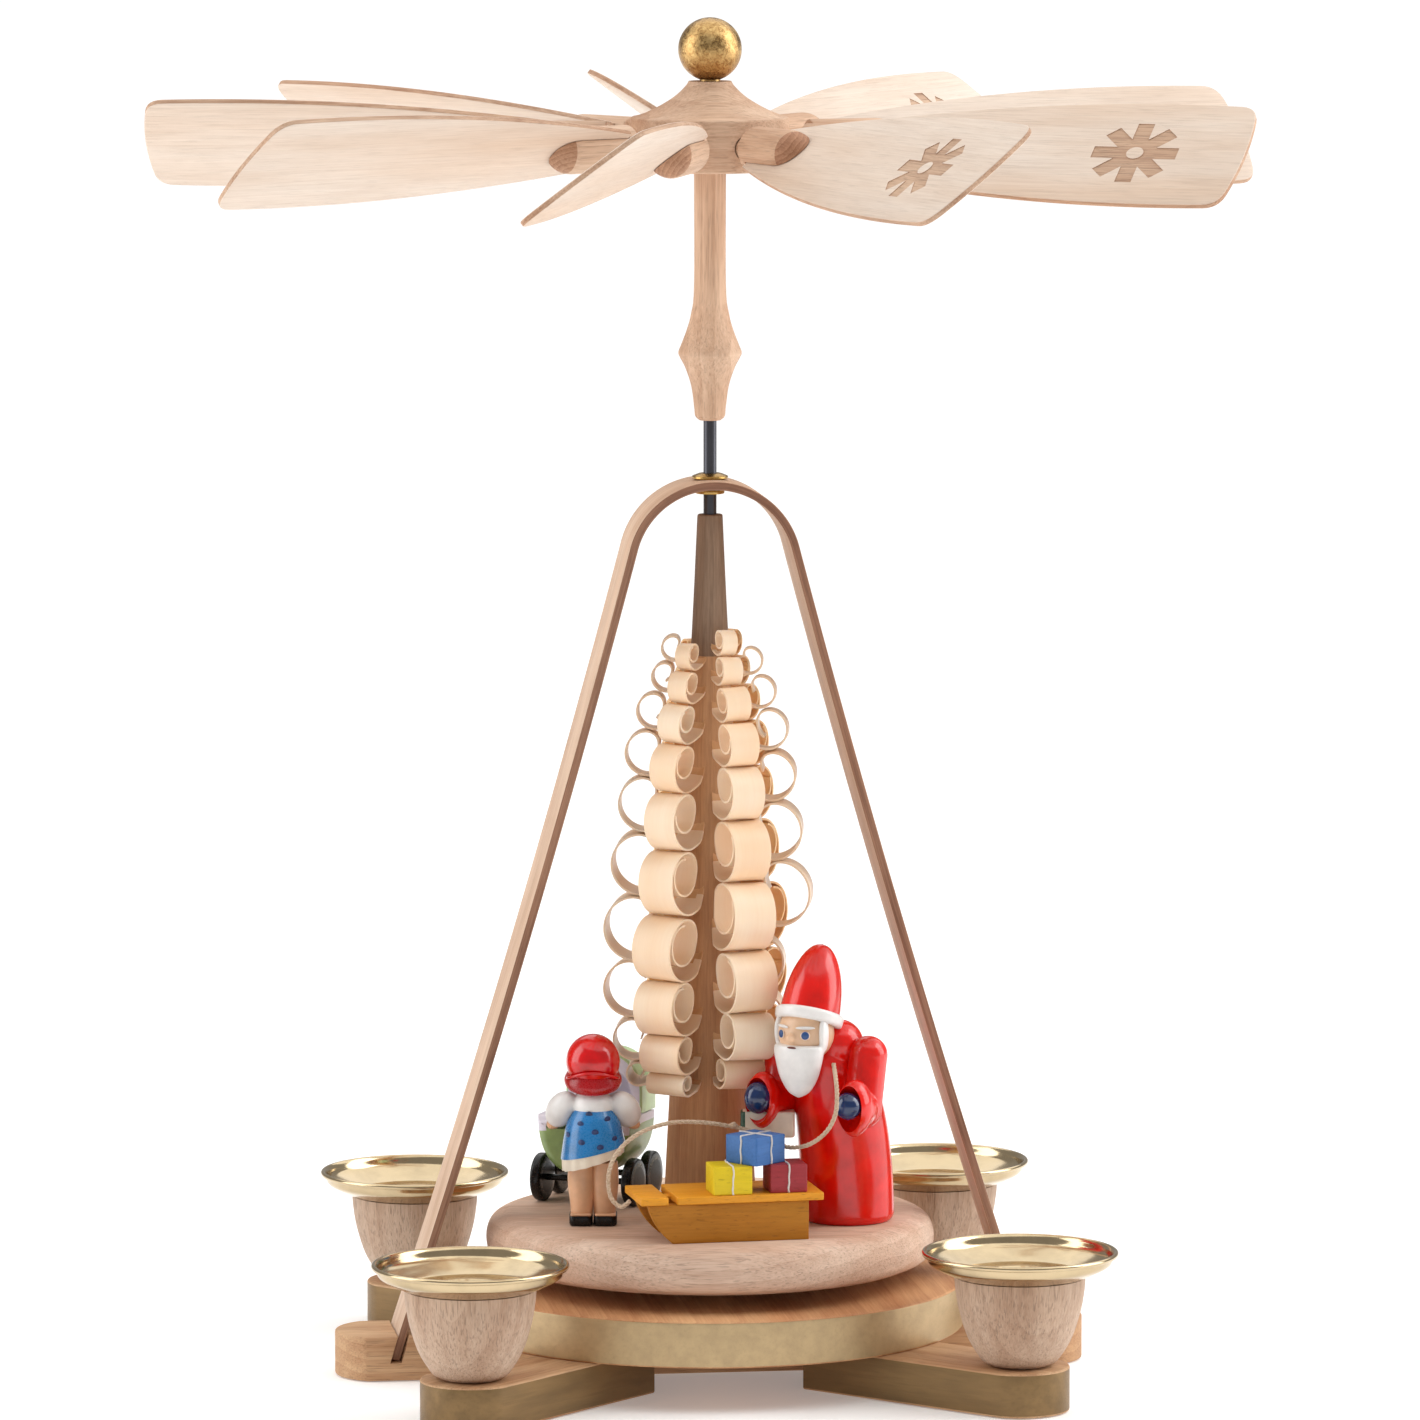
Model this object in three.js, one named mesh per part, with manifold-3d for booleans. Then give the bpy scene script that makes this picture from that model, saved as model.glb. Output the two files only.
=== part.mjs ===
// A wooden candle pyramid: four candle cups on a star base round a turntable
// that carries a carved curl tree, a gift bringer with a sled and a girl with a
// doll's pram. A bladed wheel on the steel axle turns it in the candles' warm air.
// Millimetres, +Z up. The origin is on the floor under the axle, +X runs along
// the crossbar that holds the bent arch, and the front faces -Y.

import * as THREE from "three";
import { mergeVertices } from "three/addons/utils/BufferGeometryUtils.js";
import Module from "manifold-3d";

const wasm = await Module();
wasm.setup();

// Clearances
const fit = 0.3; // round a piece that is pushed or glued into its seat
const running = 0.1; // round the axle in its bush and its bearing
const small = 1; // how far a cutting solid runs past the face that it opens

// Base
const boardThickness = 9.5; // the arms and the crossbar
const armWidth = 21;
const armInner = 33; // from the axle to an arm's square inner end
const cupRadiusFromAxle = 82;
const armEndBulge = 8.5;
const armAngle = 45; // between the crossbar and each arm, degrees
const barLength = 162;
const barWidth = 20;
const barEndBulge = 6;
const slotDepth = 5.7; // of the arch's slots in the crossbar
const plateRadius = 54.6;
const plateThickness = 9.9;
const plateEdge = 0.5;

// Candle cups and drip dishes
const cupHeight = 19;
const cupTopRadius = 13.8;
const cupFootRadius = 5.6;
const candleDiameter = 14;
const candleClearance = 0.15; // all round, in the dish's socket
const brass = 0.7; // sheet thickness
const socketDepth = 12;
const dishRadius = 20.7;
const dishRise = 5.4; // from the cup's top to the rolled rim

// Arch
const archTop = 191.7;
const archThickness = 1.8;
const archWidth = 16;
const archRadius = 18.8; // outside, at the top
const archFoot = 67.2; // from the axle to the middle of a leg at the crossbar's top
const archBow = 1.4; // of each leg, inwards from straight
const bushFlangeRadius = 3.85;
const bushFlange = 1.2;
const bushWall = 0.8;

// Axle and its bearing
const axleRadius = 1.4;
const axleTip = 5; // length of the point
const axleTop = 248.6;
const bearingRadius = 4;
const bearingDepth = 6.2; // let into the plate
const bearingSeat = 3; // depth of its conical seat

// Turntable and curl tree
const tableGap = 3.9; // from the plate to the turntable
const tableThickness = 10.2;
const tableRadius = 48;
const tableFlat = 43.4; // radius of the flat top
const trunkGap = 4.4; // from the trunk's top to the lip of the arch's bush
const trunkFootRadius = 10.2;
const trunkTopRadius = 2.7;
const curlThickness = 0.55;
const curlColumns = 6;
const firstColumn = -64; // angle of the first column of curls from +X, degrees
const curlTop = 126.5; // height of the highest curl's top above the turntable
const curlRoot = 3; // how far a curl reaches into the trunk
const tierHeights = [5.6, 6.2, 7.5, 9.3, 11.4, 13.2, 14.6, 13.2, 10.2, 6.6];
const tierReaches = [10.3, 12, 15.2, 17.8, 19.3, 20.6, 22.7, 22.9, 22.5, 18];
const tierWidths = [3.4, 4.5, 5.5, 6.5, 7.5, 8.5, 9.6, 9.8, 9.8, 9.5];
const columnDrops = [0, 0.75, 0.2, 0.6, 0.3, 0.5]; // how far each column starts lower, in curls
const lastDrop = 3; // of the lowest curls below their tier
const figureSideReach = 16.4; // of the low curls in the column beside the gift bringer
const figureSideTop = 60; // height up to which that column is held back

// Winged wheel
const hubBottom = 257.6;
const hubRadius = 16.8;
const hubRim = 11.2; // height of the hub's straight side
const hubHeight = 18.7;
const ballRadius = 6.75;
const ballPegRadius = 2.2;
const ballPegLength = 6;
const spindleBottom = 204.2;
const spindleNeckRadius = 3.4;
const spindlePegRadius = 2.6;
const spindlePegLength = 8.4;
const spindleBulgeRadius = 6.75;
const spindleBulgeHeight = 14.5;
const bladeCount = 9;
const firstBlade = 9.8; // angle of blade 1 from +X, degrees
const bladePitch = 36.8;
const stemRadius = 4.95;
const stemLength = 20;
const stemStandoff = 5.2; // bare peg between the hub and a stem's shoulder
const stemHeight = 5.3; // of the stems' axes above the hub's bottom
const stemPegRadius = 2.4;
const stemPegLength = 6; // inside the hub
const bladeThickness = 1.25;
const bladeRoot = 24.6; // from the axle to a blade's inner end
const bladeTip = 118.6; // from the axle to a blade's outer corners
const bladeRootWidth = 12;
const bladeTipWidth = 31.2;
const bladeBelly = 36.4; // width of the curve's control point halfway along
const bladeTipBulge = 1.5;

// Gift bringer, placed on the turntable
const displayTurn = -7.5; // of the turntable as it stands, degrees
const giverPlace = [29.4, -9.8];
const giverTurn = -32;
const coatRadius = 10;
const coatHeight = 39;
const coatLean = 9.5;
const hoodRadius = 5.5;
const giverHeadRadius = 6.1;
const noseRadius = 1.2;
const headSide = -1; // of the head's middle, towards his right
const beardLength = 14; // below the middle of the head
const beardTop = 1.8; // below the middle of the head
const beardRadius = 5.7;
const hatHeight = 17.4;
const hatTilt = -20; // back from upright, degrees
const brimHeight = 2.6;
const armSide = 10.7; // from the figure's middle to an arm
const armRadius = 3.2;
const upperArm = 11.4;
const forearm = 5.4;
const cuffRadius = 3.6;
const cuffLength = 6.2; // from the middle of a cuff to its pointed end
const gloveRadius = 3;
const parcelLength = 11.6; // of the parcel under his right forearm
const parcelDepth = 5;
const parcelHeight = 5.6;
const parcelForward = 15.2; // from the figure's middle

// Girl
const girlPlace = [-24.9, -16.5];
const girlTurn = 180;
const girlHeadRadius = 5.9;
const scarfFlare = 6.3;
const scarfDrop = 4.8; // from the middle of the head to the scarf's edge
const scarfTilt = -12; // lower at the nape, degrees
const skirtRadius = 6.9;
const skirtHeight = 11;
const waistRadius = 4.2;
const torsoHeight = 15.4; // from the hem to the neck
const legHeight = 13.6;
const legRadius = 2.7;
const shoeLength = 7.6;
const shoeWidth = 5;
const shoeHeight = 2.6;
const sleeveRadius = 3.3;
const sleeveLength = 2.6; // of its straight part
const sleeveSide = 6.9;

// Doll's pram
const pramPlace = [-24.6, 14.7];
const pramTurn = -20;
const pramRadius = 10.7;
const pramWidth = 19;
const pramWheelRadius = 5.2;
const pramWheelWidth = 2.8;
const pramAxleRadius = 0.7;
const pramDepth = 13; // of the tub
const pramBase = 10.5; // between the axles
const pramTrack = 21;
const hoodWidth = 9;
const hoodSide = 8.8; // from the hood's middle to its outside
const hoodShift = 1.5; // of the hood's middle from the tub's
const hoodStand = 4.6; // of its straight sides
const hoodRim = 2.4;

// Sled and gifts
const sledPlace = [3, -30];
const sledTurn = 12;
const sledLength = 39.5;
const sledWidth = 17.6;
const sledHeight = 10;
const boardHeight = 1.6;
const slatLength = 6;
const slatGap = 1.8;
const runnerThickness = 2.2;
const runnerInset = 0.6;
const spineWidth = 3;
const giftHeight = 6;
const yellowGift = [0.2, -4, 8.4]; // place along and across the sled, and width
const redGift = [12.4, -3.6, 8];
const blueGift = [6.2, -2.6, 9]; // on top of the other two
const blueTurn = 35;

// Sled cord, from the front slat over to the gift bringer's collar
const cordRadius = 0.5;
const cordSides = 8;
const cordSteps = 36;
const cordRoute = [
  [-16.9, -34.3, 41.6],
  [-18.8, -34.2, 40.4],
  [-20.8, -33.6, 42],
  [-21.5, -32.6, 45],
  [-21.1, -31.6, 48.4],
  [-19.5, -30.4, 51.5],
  [-16.7, -29, 54.1],
  [-12.8, -27.4, 56],
  [-8, -25.8, 57],
  [-3, -24.4, 56.9],
  [2, -23.2, 56.2],
  [8, -22.4, 54.8],
  [13, -24, 53],
  [16.6, -27.4, 52],
  [20.8, -31.4, 53.2],
  [24.4, -34.8, 56.4],
  [26.4, -36.6, 60.4],
  [26.8, -35.2, 64.4],
  [26.6, -31.2, 67.2],
  [26.2, -26.2, 69.6],
];

// Heights that follow
const plateTop = boardThickness + plateThickness;
const tableBottom = plateTop + tableGap;
const tableTop = tableBottom + tableThickness;
const stemAxis = hubBottom + stemHeight;
const bushLip = archTop - archThickness - 2 * fit; // top of the lip under the arch
const trunkHeight = bushLip - bushWall - trunkGap - tableTop;

const radians = THREE.MathUtils.degToRad;

// Materials
function finish(color, roughness, metalness = 0) {
  return new THREE.MeshStandardMaterial({ color, roughness, metalness });
}

const bareWood = finish(0xdcbf9f, 0.7);
const lindenWood = finish(0xe0d0bd, 0.75);
const peachWood = finish(0xcc9b6c, 0.6);
const goldPaint = finish(0xb39b62, 0.45, 0.3);
const leafGold = finish(0xc69a4a, 0.3, 0.9);
const brassSheet = finish(0xc9ba78, 0.2, 1);
const steel = finish(0x4a4a4d, 0.35, 1);
const redPaint = finish(0xd91a12, 0.25);
const whitePaint = finish(0xeeeeea, 0.35);
const skinPaint = finish(0xd09970, 0.5);
const bluePaint = finish(0x2b87c4, 0.3);
const greenPaint = finish(0x7d9466, 0.35);
const palePaint = finish(0xc4dcaa, 0.35);
const blackPaint = finish(0x17171a, 0.35);
const ochrePaint = finish(0xcf8a1c, 0.45);
const yellowPaint = finish(0xdcbc14, 0.45);
const darkRedPaint = finish(0x9c2f36, 0.45);
const giftBluePaint = finish(0x5b8cc0, 0.45);
const twine = finish(0xd9c8ad, 0.9);

// Solids: a geometry becomes a closed solid, and a solid becomes a mesh
function solidOf(geometry) {
  const bare = geometry.clone();
  bare.deleteAttribute("normal");
  bare.deleteAttribute("uv");
  const merged = mergeVertices(bare, 1e-4);
  return new wasm.Manifold(
    new wasm.Mesh({
      numProp: 3,
      vertProperties: new Float32Array(merged.attributes.position.array),
      triVerts: new Uint32Array(merged.index.array),
    }),
  );
}

function geometryOf(solid) {
  const mesh = solid.getMesh();
  const geometry = new THREE.BufferGeometry();
  geometry.setAttribute("position", new THREE.BufferAttribute(mesh.vertProperties, 3));
  geometry.setIndex(new THREE.BufferAttribute(mesh.triVerts, 1));
  geometry.computeVertexNormals();
  return geometry;
}

function join(...geometries) {
  const solids = geometries.map(solidOf);
  return geometryOf(solids.reduce((whole, next) => whole.add(next)));
}

function cut(geometry, ...tools) {
  const start = solidOf(geometry);
  return geometryOf(tools.reduce((rest, tool) => rest.subtract(solidOf(tool)), start));
}

function piece(name, geometry, material, parent) {
  const mesh = new THREE.Mesh(geometry, material);
  mesh.name = name;
  parent.add(mesh);
  return mesh;
}

// Shapes
// A profile of [radius, height] points from the axis, up the outside and back.
function turned(profile, sides) {
  const points = profile.map(([radius, height]) => new THREE.Vector2(radius, height));
  return new THREE.LatheGeometry(points, sides).rotateX(Math.PI / 2);
}

function rod(radius, bottom, top, sides) {
  return turned([[0, bottom], [radius, bottom], [radius, top], [0, top]], sides);
}

function ball(radius, x, y, z, sides = 16) {
  return new THREE.SphereGeometry(radius, sides, sides / 2).rotateX(Math.PI / 2).translate(x, y, z);
}

function block(length, width, height, x, y, bottom) {
  return new THREE.BoxGeometry(length, width, height).translate(x, y, bottom + height / 2);
}

// A flat shape of the XY plane, made thick in z.
function plank(shape, bottom, thickness, curveSegments = 8) {
  const settings = { depth: thickness, bevelEnabled: false, curveSegments };
  return new THREE.ExtrudeGeometry(shape, settings).translate(0, 0, bottom);
}

// A flat shape of the XZ plane, made wide in y, equally to both sides.
function slab(shape, width, curveSegments = 8) {
  const settings = { depth: width, bevelEnabled: false, curveSegments };
  return new THREE.ExtrudeGeometry(shape, settings).translate(0, 0, -width / 2).rotateX(Math.PI / 2);
}

// A capsule between two points.
function capsule(from, to, radius, sides = 12) {
  const start = new THREE.Vector3(...from);
  const end = new THREE.Vector3(...to);
  const along = end.clone().sub(start);
  const turn = new THREE.Quaternion().setFromUnitVectors(
    new THREE.Vector3(0, 1, 0),
    along.clone().normalize(),
  );
  return new THREE.CapsuleGeometry(radius, along.length(), 2, sides)
    .applyQuaternion(turn)
    .translate(...start.add(end).multiplyScalar(0.5));
}

// Base: four arms and a crossbar under a round plate
function boardOutline(inner, outer, width, bulge) {
  const half = width / 2;
  const shape = new THREE.Shape();
  shape.moveTo(inner, -half);
  shape.lineTo(outer - bulge, -half);
  endArc(shape, outer, half, bulge, 1);
  shape.lineTo(inner, half);
  return shape;
}

// The arc that closes a board's end: it bulges by a given depth over the width.
function endArc(shape, tip, half, bulge, side) {
  const radius = (half * half + bulge * bulge) / (2 * bulge);
  const sweep = Math.asin(half / radius);
  const facing = side > 0 ? 0 : Math.PI;
  shape.absarc(tip - side * radius, 0, radius, facing - sweep, facing + sweep, false);
}

function armShape() {
  const outline = boardOutline(armInner, cupRadiusFromAxle + armWidth / 2, armWidth, armEndBulge);
  return plank(outline, 0, boardThickness, 6);
}

function crossbarShape() {
  const tip = barLength / 2;
  const outline = new THREE.Shape();
  outline.moveTo(-tip + barEndBulge, -barWidth / 2);
  outline.lineTo(tip - barEndBulge, -barWidth / 2);
  endArc(outline, tip, barWidth / 2, barEndBulge, 1);
  outline.lineTo(-tip + barEndBulge, barWidth / 2);
  endArc(outline, -tip, barWidth / 2, barEndBulge, -1);
  const slots = [-1, 1].map(archSlot);
  return cut(plank(outline, 0, boardThickness, 5), ...slots);
}

function plateShape() {
  const edge = plateRadius - plateEdge;
  const profile = [
    [0, boardThickness],
    [edge, boardThickness],
    [plateRadius, boardThickness + plateEdge],
    [plateRadius, plateTop - plateEdge],
    [edge, plateTop],
    [0, plateTop],
  ];
  const pocket = rod(bearingRadius + fit, plateTop - bearingDepth, plateTop + small, 16);
  return cut(turned(profile, 44), pocket);
}

// Arch: a strip bent round a circle at the top, with legs that bow in a little
const archMiddle = archRadius - archThickness / 2;
const archCentre = archTop - archRadius;
const archReach = Math.hypot(archFoot, archCentre - boardThickness);
const archSlope =
  Math.atan2(archFoot, archCentre - boardThickness) - Math.asin(archMiddle / archReach);

function archPoint(offset, height) {
  const radius = archMiddle + offset;
  const drop = archCentre - height;
  return radius / Math.cos(archSlope) + drop * Math.tan(archSlope);
}

function archShape() {
  const foot = boardThickness - slotDepth + fit;
  const half = archThickness / 2;
  const top = archCentre + archMiddle * Math.sin(archSlope);
  const outline = new THREE.Shape();
  outline.moveTo(archPoint(half, foot), foot);
  bowedLeg(outline, half, 1, boardThickness + small, top);
  outline.absarc(0, archCentre, archMiddle + half, archSlope, Math.PI - archSlope, false);
  bowedLeg(outline, half, -1, top, boardThickness + small);
  outline.lineTo(-archPoint(half, foot), foot);
  outline.lineTo(-archPoint(-half, foot), foot);
  bowedLeg(outline, -half, -1, boardThickness + small, top);
  outline.absarc(0, archCentre, archMiddle - half, Math.PI - archSlope, archSlope, true);
  bowedLeg(outline, -half, 1, top, boardThickness + small);
  outline.lineTo(archPoint(-half, foot), foot);
  const hole = rod(bushOuter() + fit, archTop - 3 * archThickness, archTop + small, 16);
  return cut(slab(outline, archWidth, 8), hole);
}

// One face of a leg, on one side of the arch, from a height to another.
function bowedLeg(outline, offset, side, from, to) {
  const middle = (from + to) / 2;
  outline.lineTo(side * archPoint(offset, from), from);
  outline.quadraticCurveTo(
    side * (archPoint(offset, middle) - 2 * archBow),
    middle,
    side * archPoint(offset, to),
    to,
  );
}

// The slanted slot that holds a leg of the arch, on one side of the crossbar.
function archSlot(side) {
  const half = archThickness / 2 + fit;
  const bottom = boardThickness - slotDepth;
  const top = boardThickness + small;
  const corners = [
    [archPoint(half, bottom), bottom],
    [archPoint(half, top), top],
    [archPoint(-half, top), top],
    [archPoint(-half, bottom), bottom],
  ];
  const outline = new THREE.Shape(corners.map(([x, z]) => new THREE.Vector2(side * x, z)));
  return slab(outline, barWidth + 2 * small);
}

function bushOuter() {
  return axleRadius + running + bushWall;
}

// A riveted eyelet: a flange above the arch, a tube through it and a lip below.
function bushShape() {
  const bore = axleRadius + running;
  const outer = bushOuter();
  const lipRadius = outer + bushWall;
  const profile = [
    [bore, bushLip - bushWall],
    [lipRadius, bushLip - bushWall],
    [lipRadius, bushLip],
    [outer, bushLip],
    [outer, archTop],
    [bushFlangeRadius, archTop],
    [bushFlangeRadius, archTop + bushFlange / 2],
    [outer, archTop + bushFlange],
    [bore, archTop + bushFlange],
    [bore, bushLip - bushWall],
  ];
  return turned(profile, 16);
}

// Candle cup, turned from one block, with a bore for the dish's socket
const socketRadius = candleDiameter / 2 + candleClearance;

function cupShape() {
  const foot = boardThickness;
  const top = foot + cupHeight;
  const swell = cupTopRadius - cupFootRadius;
  const profile = [
    [0, foot],
    [cupFootRadius, foot],
    [cupFootRadius + 0.36 * swell, foot + 0.1 * cupHeight],
    [cupFootRadius + 0.66 * swell, foot + 0.32 * cupHeight],
    [cupFootRadius + 0.88 * swell, foot + 0.62 * cupHeight],
    [cupTopRadius, top],
    [0, top],
  ];
  const bore = rod(socketRadius + brass + fit, top - socketDepth - brass - fit, top + small, 20);
  return cut(turned(profile, 20), bore);
}

// Pressed brass drip dish with a closed socket for the candle
function dishShape() {
  const seat = boardThickness + cupHeight;
  const floor = seat + brass;
  const profile = [
    [0, seat - socketDepth - brass],
    [socketRadius + brass, seat - socketDepth - brass],
    [socketRadius + brass, seat],
    [cupTopRadius, seat],
    [0.87 * dishRadius, seat + 0.36 * dishRise],
    [dishRadius, seat + 0.78 * dishRise],
    [dishRadius, seat + dishRise],
    [dishRadius - 1.4 * brass, seat + 0.86 * dishRise],
    [0.85 * dishRadius, floor + 0.36 * dishRise],
    [cupTopRadius - brass / 2, floor],
    [socketRadius, floor],
    [socketRadius, seat - socketDepth],
    [0, seat - socketDepth],
  ];
  return turned(profile, 20);
}

// Steel axle with its point in the bearing cup
const tipRest = plateTop - bearingSeat + running;

function axleShape() {
  const profile = [
    [0, tipRest],
    [axleRadius, tipRest + axleTip],
    [axleRadius, axleTop],
    [0, axleTop],
  ];
  return turned(profile, 12);
}

function bearingShape() {
  const bottom = plateTop - bearingDepth;
  const seatRadius = (bearingSeat * axleRadius) / axleTip + fit;
  const profile = [
    [0, bottom],
    [bearingRadius, bottom],
    [bearingRadius, plateTop],
    [seatRadius, plateTop],
    [0, plateTop - bearingSeat],
  ];
  return turned(profile, 16);
}

// Turntable
function tableShape() {
  const rise = tableThickness;
  const profile = [
    [0, tableBottom],
    [tableRadius - 4, tableBottom],
    [tableRadius - 1, tableBottom + 0.1 * rise],
    [tableRadius, tableBottom + 0.32 * rise],
    [tableRadius, tableBottom + 0.66 * rise],
    [tableRadius - 1.2, tableBottom + 0.88 * rise],
    [tableFlat, tableTop],
    [0, tableTop],
  ];
  return cut(turned(profile, 40), axleBore(tableBottom, tableTop));
}

function axleBore(bottom, top) {
  return rod(axleRadius + fit, bottom - small, top + small, 12);
}

// Curl tree: a tapered trunk with shaved curls in columns
function trunkRadius(height) {
  return trunkFootRadius + ((trunkTopRadius - trunkFootRadius) * height) / trunkHeight;
}

// The outline of one curl in the plane through the axis: out from the trunk at
// its foot, up and back in, then on into its own spiral.
function curlOutline(foot, size, reach) {
  const steps = 7;
  const turnDegrees = 330;
  const radius = size / 2;
  const centreX = reach - radius;
  const centreZ = foot + radius;
  const path = [new THREE.Vector2(trunkRadius(foot) - curlThickness, foot + curlThickness / 2)];
  for (let i = 0; i <= steps; i += 1) {
    const angle = radians(-90 + (turnDegrees * i) / steps);
    const shrink = 1 - (0.55 * i) / steps;
    const reachNow = (radius - curlThickness / 2) * shrink;
    path.push(new THREE.Vector2(centreX + reachNow * Math.cos(angle), centreZ + reachNow * Math.sin(angle)));
  }
  return ribbonOutline(path, curlThickness);
}

// A band of even thickness along a path of points.
function ribbonOutline(path, thickness) {
  const sides = path.map((point, i) => {
    const before = path[Math.max(i - 1, 0)];
    const after = path[Math.min(i + 1, path.length - 1)];
    const along = after.clone().sub(before).normalize();
    return new THREE.Vector2(-along.y, along.x).multiplyScalar(thickness / 2);
  });
  const left = path.map((point, i) => point.clone().add(sides[i]));
  const right = path.map((point, i) => point.clone().sub(sides[i]));
  return new THREE.Shape([...right, ...left.reverse()]);
}

// The band is as wide as its tier, and narrows to its own sixth near the trunk.
function curl(foot, size, reach, width) {
  const settings = { depth: 1, bevelEnabled: false };
  const geometry = new THREE.ExtrudeGeometry(curlOutline(foot, size, reach), settings);
  const corners = geometry.attributes.position;
  const share = 1.88 * Math.tan(Math.PI / curlColumns);
  for (let i = 0; i < corners.count; i += 1) {
    const radius = corners.getX(i);
    const side = corners.getZ(i) - 0.5;
    corners.setXYZ(i, radius, side * Math.min(width, share * radius), corners.getY(i));
  }
  return turnedRound(geometry);
}

// Where Y and Z change places, each face is turned round to point outwards again.
function turnedRound(geometry) {
  const corners = geometry.attributes.position;
  for (let i = 0; i < corners.count; i += 3) {
    const first = new THREE.Vector3().fromBufferAttribute(corners, i);
    const last = new THREE.Vector3().fromBufferAttribute(corners, i + 2);
    corners.setXYZ(i, last.x, last.y, last.z);
    corners.setXYZ(i + 2, first.x, first.y, first.z);
  }
  return geometry;
}

// The height of the edge between two tiers of curls, in a column that starts lower.
function tierEdge(tier, drop) {
  const above = tierHeights.slice(0, tier).reduce((sum, height) => sum + height, 0);
  return curlTop - above - drop * (tierHeights[tier] ?? lastDrop);
}

function tierReach(tier, drop) {
  const next = tierReaches[tier + 1] ?? tierReaches[tier];
  return tierReaches[tier] + drop * (next - tierReaches[tier]);
}

function treeShape() {
  const trunk = turned(
    [[0, 0], [trunkFootRadius, 0], [trunkTopRadius, trunkHeight], [0, trunkHeight]],
    2 * curlColumns,
  );
  const curls = [];
  for (let column = 0; column < curlColumns; column += 1) {
    const angle = radians(firstColumn + (360 / curlColumns) * column);
    const drop = columnDrops[column];
    tierHeights.forEach((_, tier) => {
      const top = tierEdge(tier, drop);
      const foot = tierEdge(tier + 1, drop);
      const held = column === 1 && foot < figureSideTop;
      const reach = Math.min(tierReach(tier, drop), held ? figureSideReach : tableRadius);
      const size = Math.min(top - foot, reach - trunkRadius(foot) + curlRoot);
      curls.push(curl(foot, size, reach, tierWidths[tier]).rotateZ(angle));
    });
  }
  return cut(join(trunk, ...curls), axleBore(0, trunkHeight)).translate(0, 0, tableTop);
}

// Winged wheel: spindle, hub, ball, stems and blades
function spindleShape() {
  const bulge = spindleBottom + spindleBulgeHeight;
  const neck = spindleNeckRadius;
  const swell = spindleBulgeRadius - neck;
  const profile = [
    [0, spindleBottom],
    [neck - 1.1, spindleBottom],
    [neck, spindleBottom + 0.2 * spindleBulgeHeight],
    [neck + 0.18 * swell, spindleBottom + 0.5 * spindleBulgeHeight],
    [neck + 0.54 * swell, spindleBottom + 0.76 * spindleBulgeHeight],
    [spindleBulgeRadius - 0.3, bulge - 1],
    [spindleBulgeRadius, bulge],
    [neck + 0.8 * swell, bulge + 1.8],
    [neck + 0.48 * swell, bulge + 0.32 * spindleBulgeHeight],
    [neck + 0.2 * swell, bulge + 0.56 * spindleBulgeHeight],
    [neck, bulge + spindleBulgeHeight],
    [neck, hubBottom],
    [spindlePegRadius, hubBottom],
    [spindlePegRadius, hubBottom + spindlePegLength],
    [0, hubBottom + spindlePegLength],
  ];
  const bore = rod(axleRadius + fit, spindleBottom - small, axleTop, 12);
  return cut(turned(profile, 16), bore);
}

function hubShape() {
  const rim = hubBottom + hubRim;
  const top = hubBottom + hubHeight;
  const cone = hubHeight - hubRim;
  const profile = [
    [0, hubBottom],
    [hubRadius - 0.6, hubBottom],
    [hubRadius, hubBottom + 0.6],
    [hubRadius, rim - 0.6],
    [hubRadius - 0.8, rim],
    [0.64 * hubRadius, rim + 0.3 * cone],
    [0.42 * hubRadius, rim + 0.6 * cone],
    [0.28 * hubRadius, top],
    [0, top],
  ];
  const spindleHole = rod(spindlePegRadius + fit, hubBottom - small, hubBottom + spindlePegLength + fit, 12);
  const ballHole = rod(ballPegRadius + fit, top - ballPegLength - fit, top + small, 12);
  const stemHoles = bladeAngles.map((angle) =>
    rod(stemPegRadius + fit, hubRadius - stemPegLength - fit, hubRadius + small, 10)
      .rotateY(Math.PI / 2)
      .rotateZ(angle)
      .translate(0, 0, stemAxis),
  );
  return cut(turned(profile, 28), spindleHole, ballHole, ...stemHoles);
}

function ballShape() {
  const top = hubBottom + hubHeight;
  const peg = rod(ballPegRadius, top - ballPegLength, top + ballRadius, 12);
  return join(ball(ballRadius, 0, 0, top + ballRadius, 16), peg);
}

const bladeAngles = Array.from({ length: bladeCount }, (_, i) =>
  radians(firstBlade + (360 / bladeCount) * i),
);

// Along local X, flat in local XY.
function bladeShape() {
  const middle = (bladeRoot + bladeTip) / 2;
  const outline = new THREE.Shape();
  outline.moveTo(bladeRoot, -bladeRootWidth / 2);
  outline.quadraticCurveTo(middle, -bladeBelly / 2, bladeTip, -bladeTipWidth / 2);
  outline.quadraticCurveTo(bladeTip + 2 * bladeTipBulge, 0, bladeTip, bladeTipWidth / 2);
  outline.quadraticCurveTo(middle, bladeBelly / 2, bladeRoot, bladeRootWidth / 2);
  return plank(outline, -bladeThickness / 2, bladeThickness, 6);
}

// Along local X, with the slot that holds its blade.
function stemShape() {
  const shoulder = hubRadius + stemStandoff;
  const end = shoulder + stemLength;
  const profile = [
    [0, hubRadius - stemPegLength],
    [stemPegRadius, hubRadius - stemPegLength],
    [stemPegRadius, shoulder],
    [stemRadius, shoulder],
    [stemRadius, end - 0.8 * stemRadius],
    [0.7 * stemRadius, end - 0.24 * stemRadius],
    [0, end],
  ];
  const slotLength = end + small - bladeRoot + fit;
  const slot = block(
    slotLength,
    2 * stemRadius + small,
    bladeThickness + 2 * fit,
    bladeRoot - fit + slotLength / 2,
    0,
    -bladeThickness / 2 - fit,
  );
  return cut(turned(profile, 12).rotateY(Math.PI / 2), slot);
}

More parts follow.
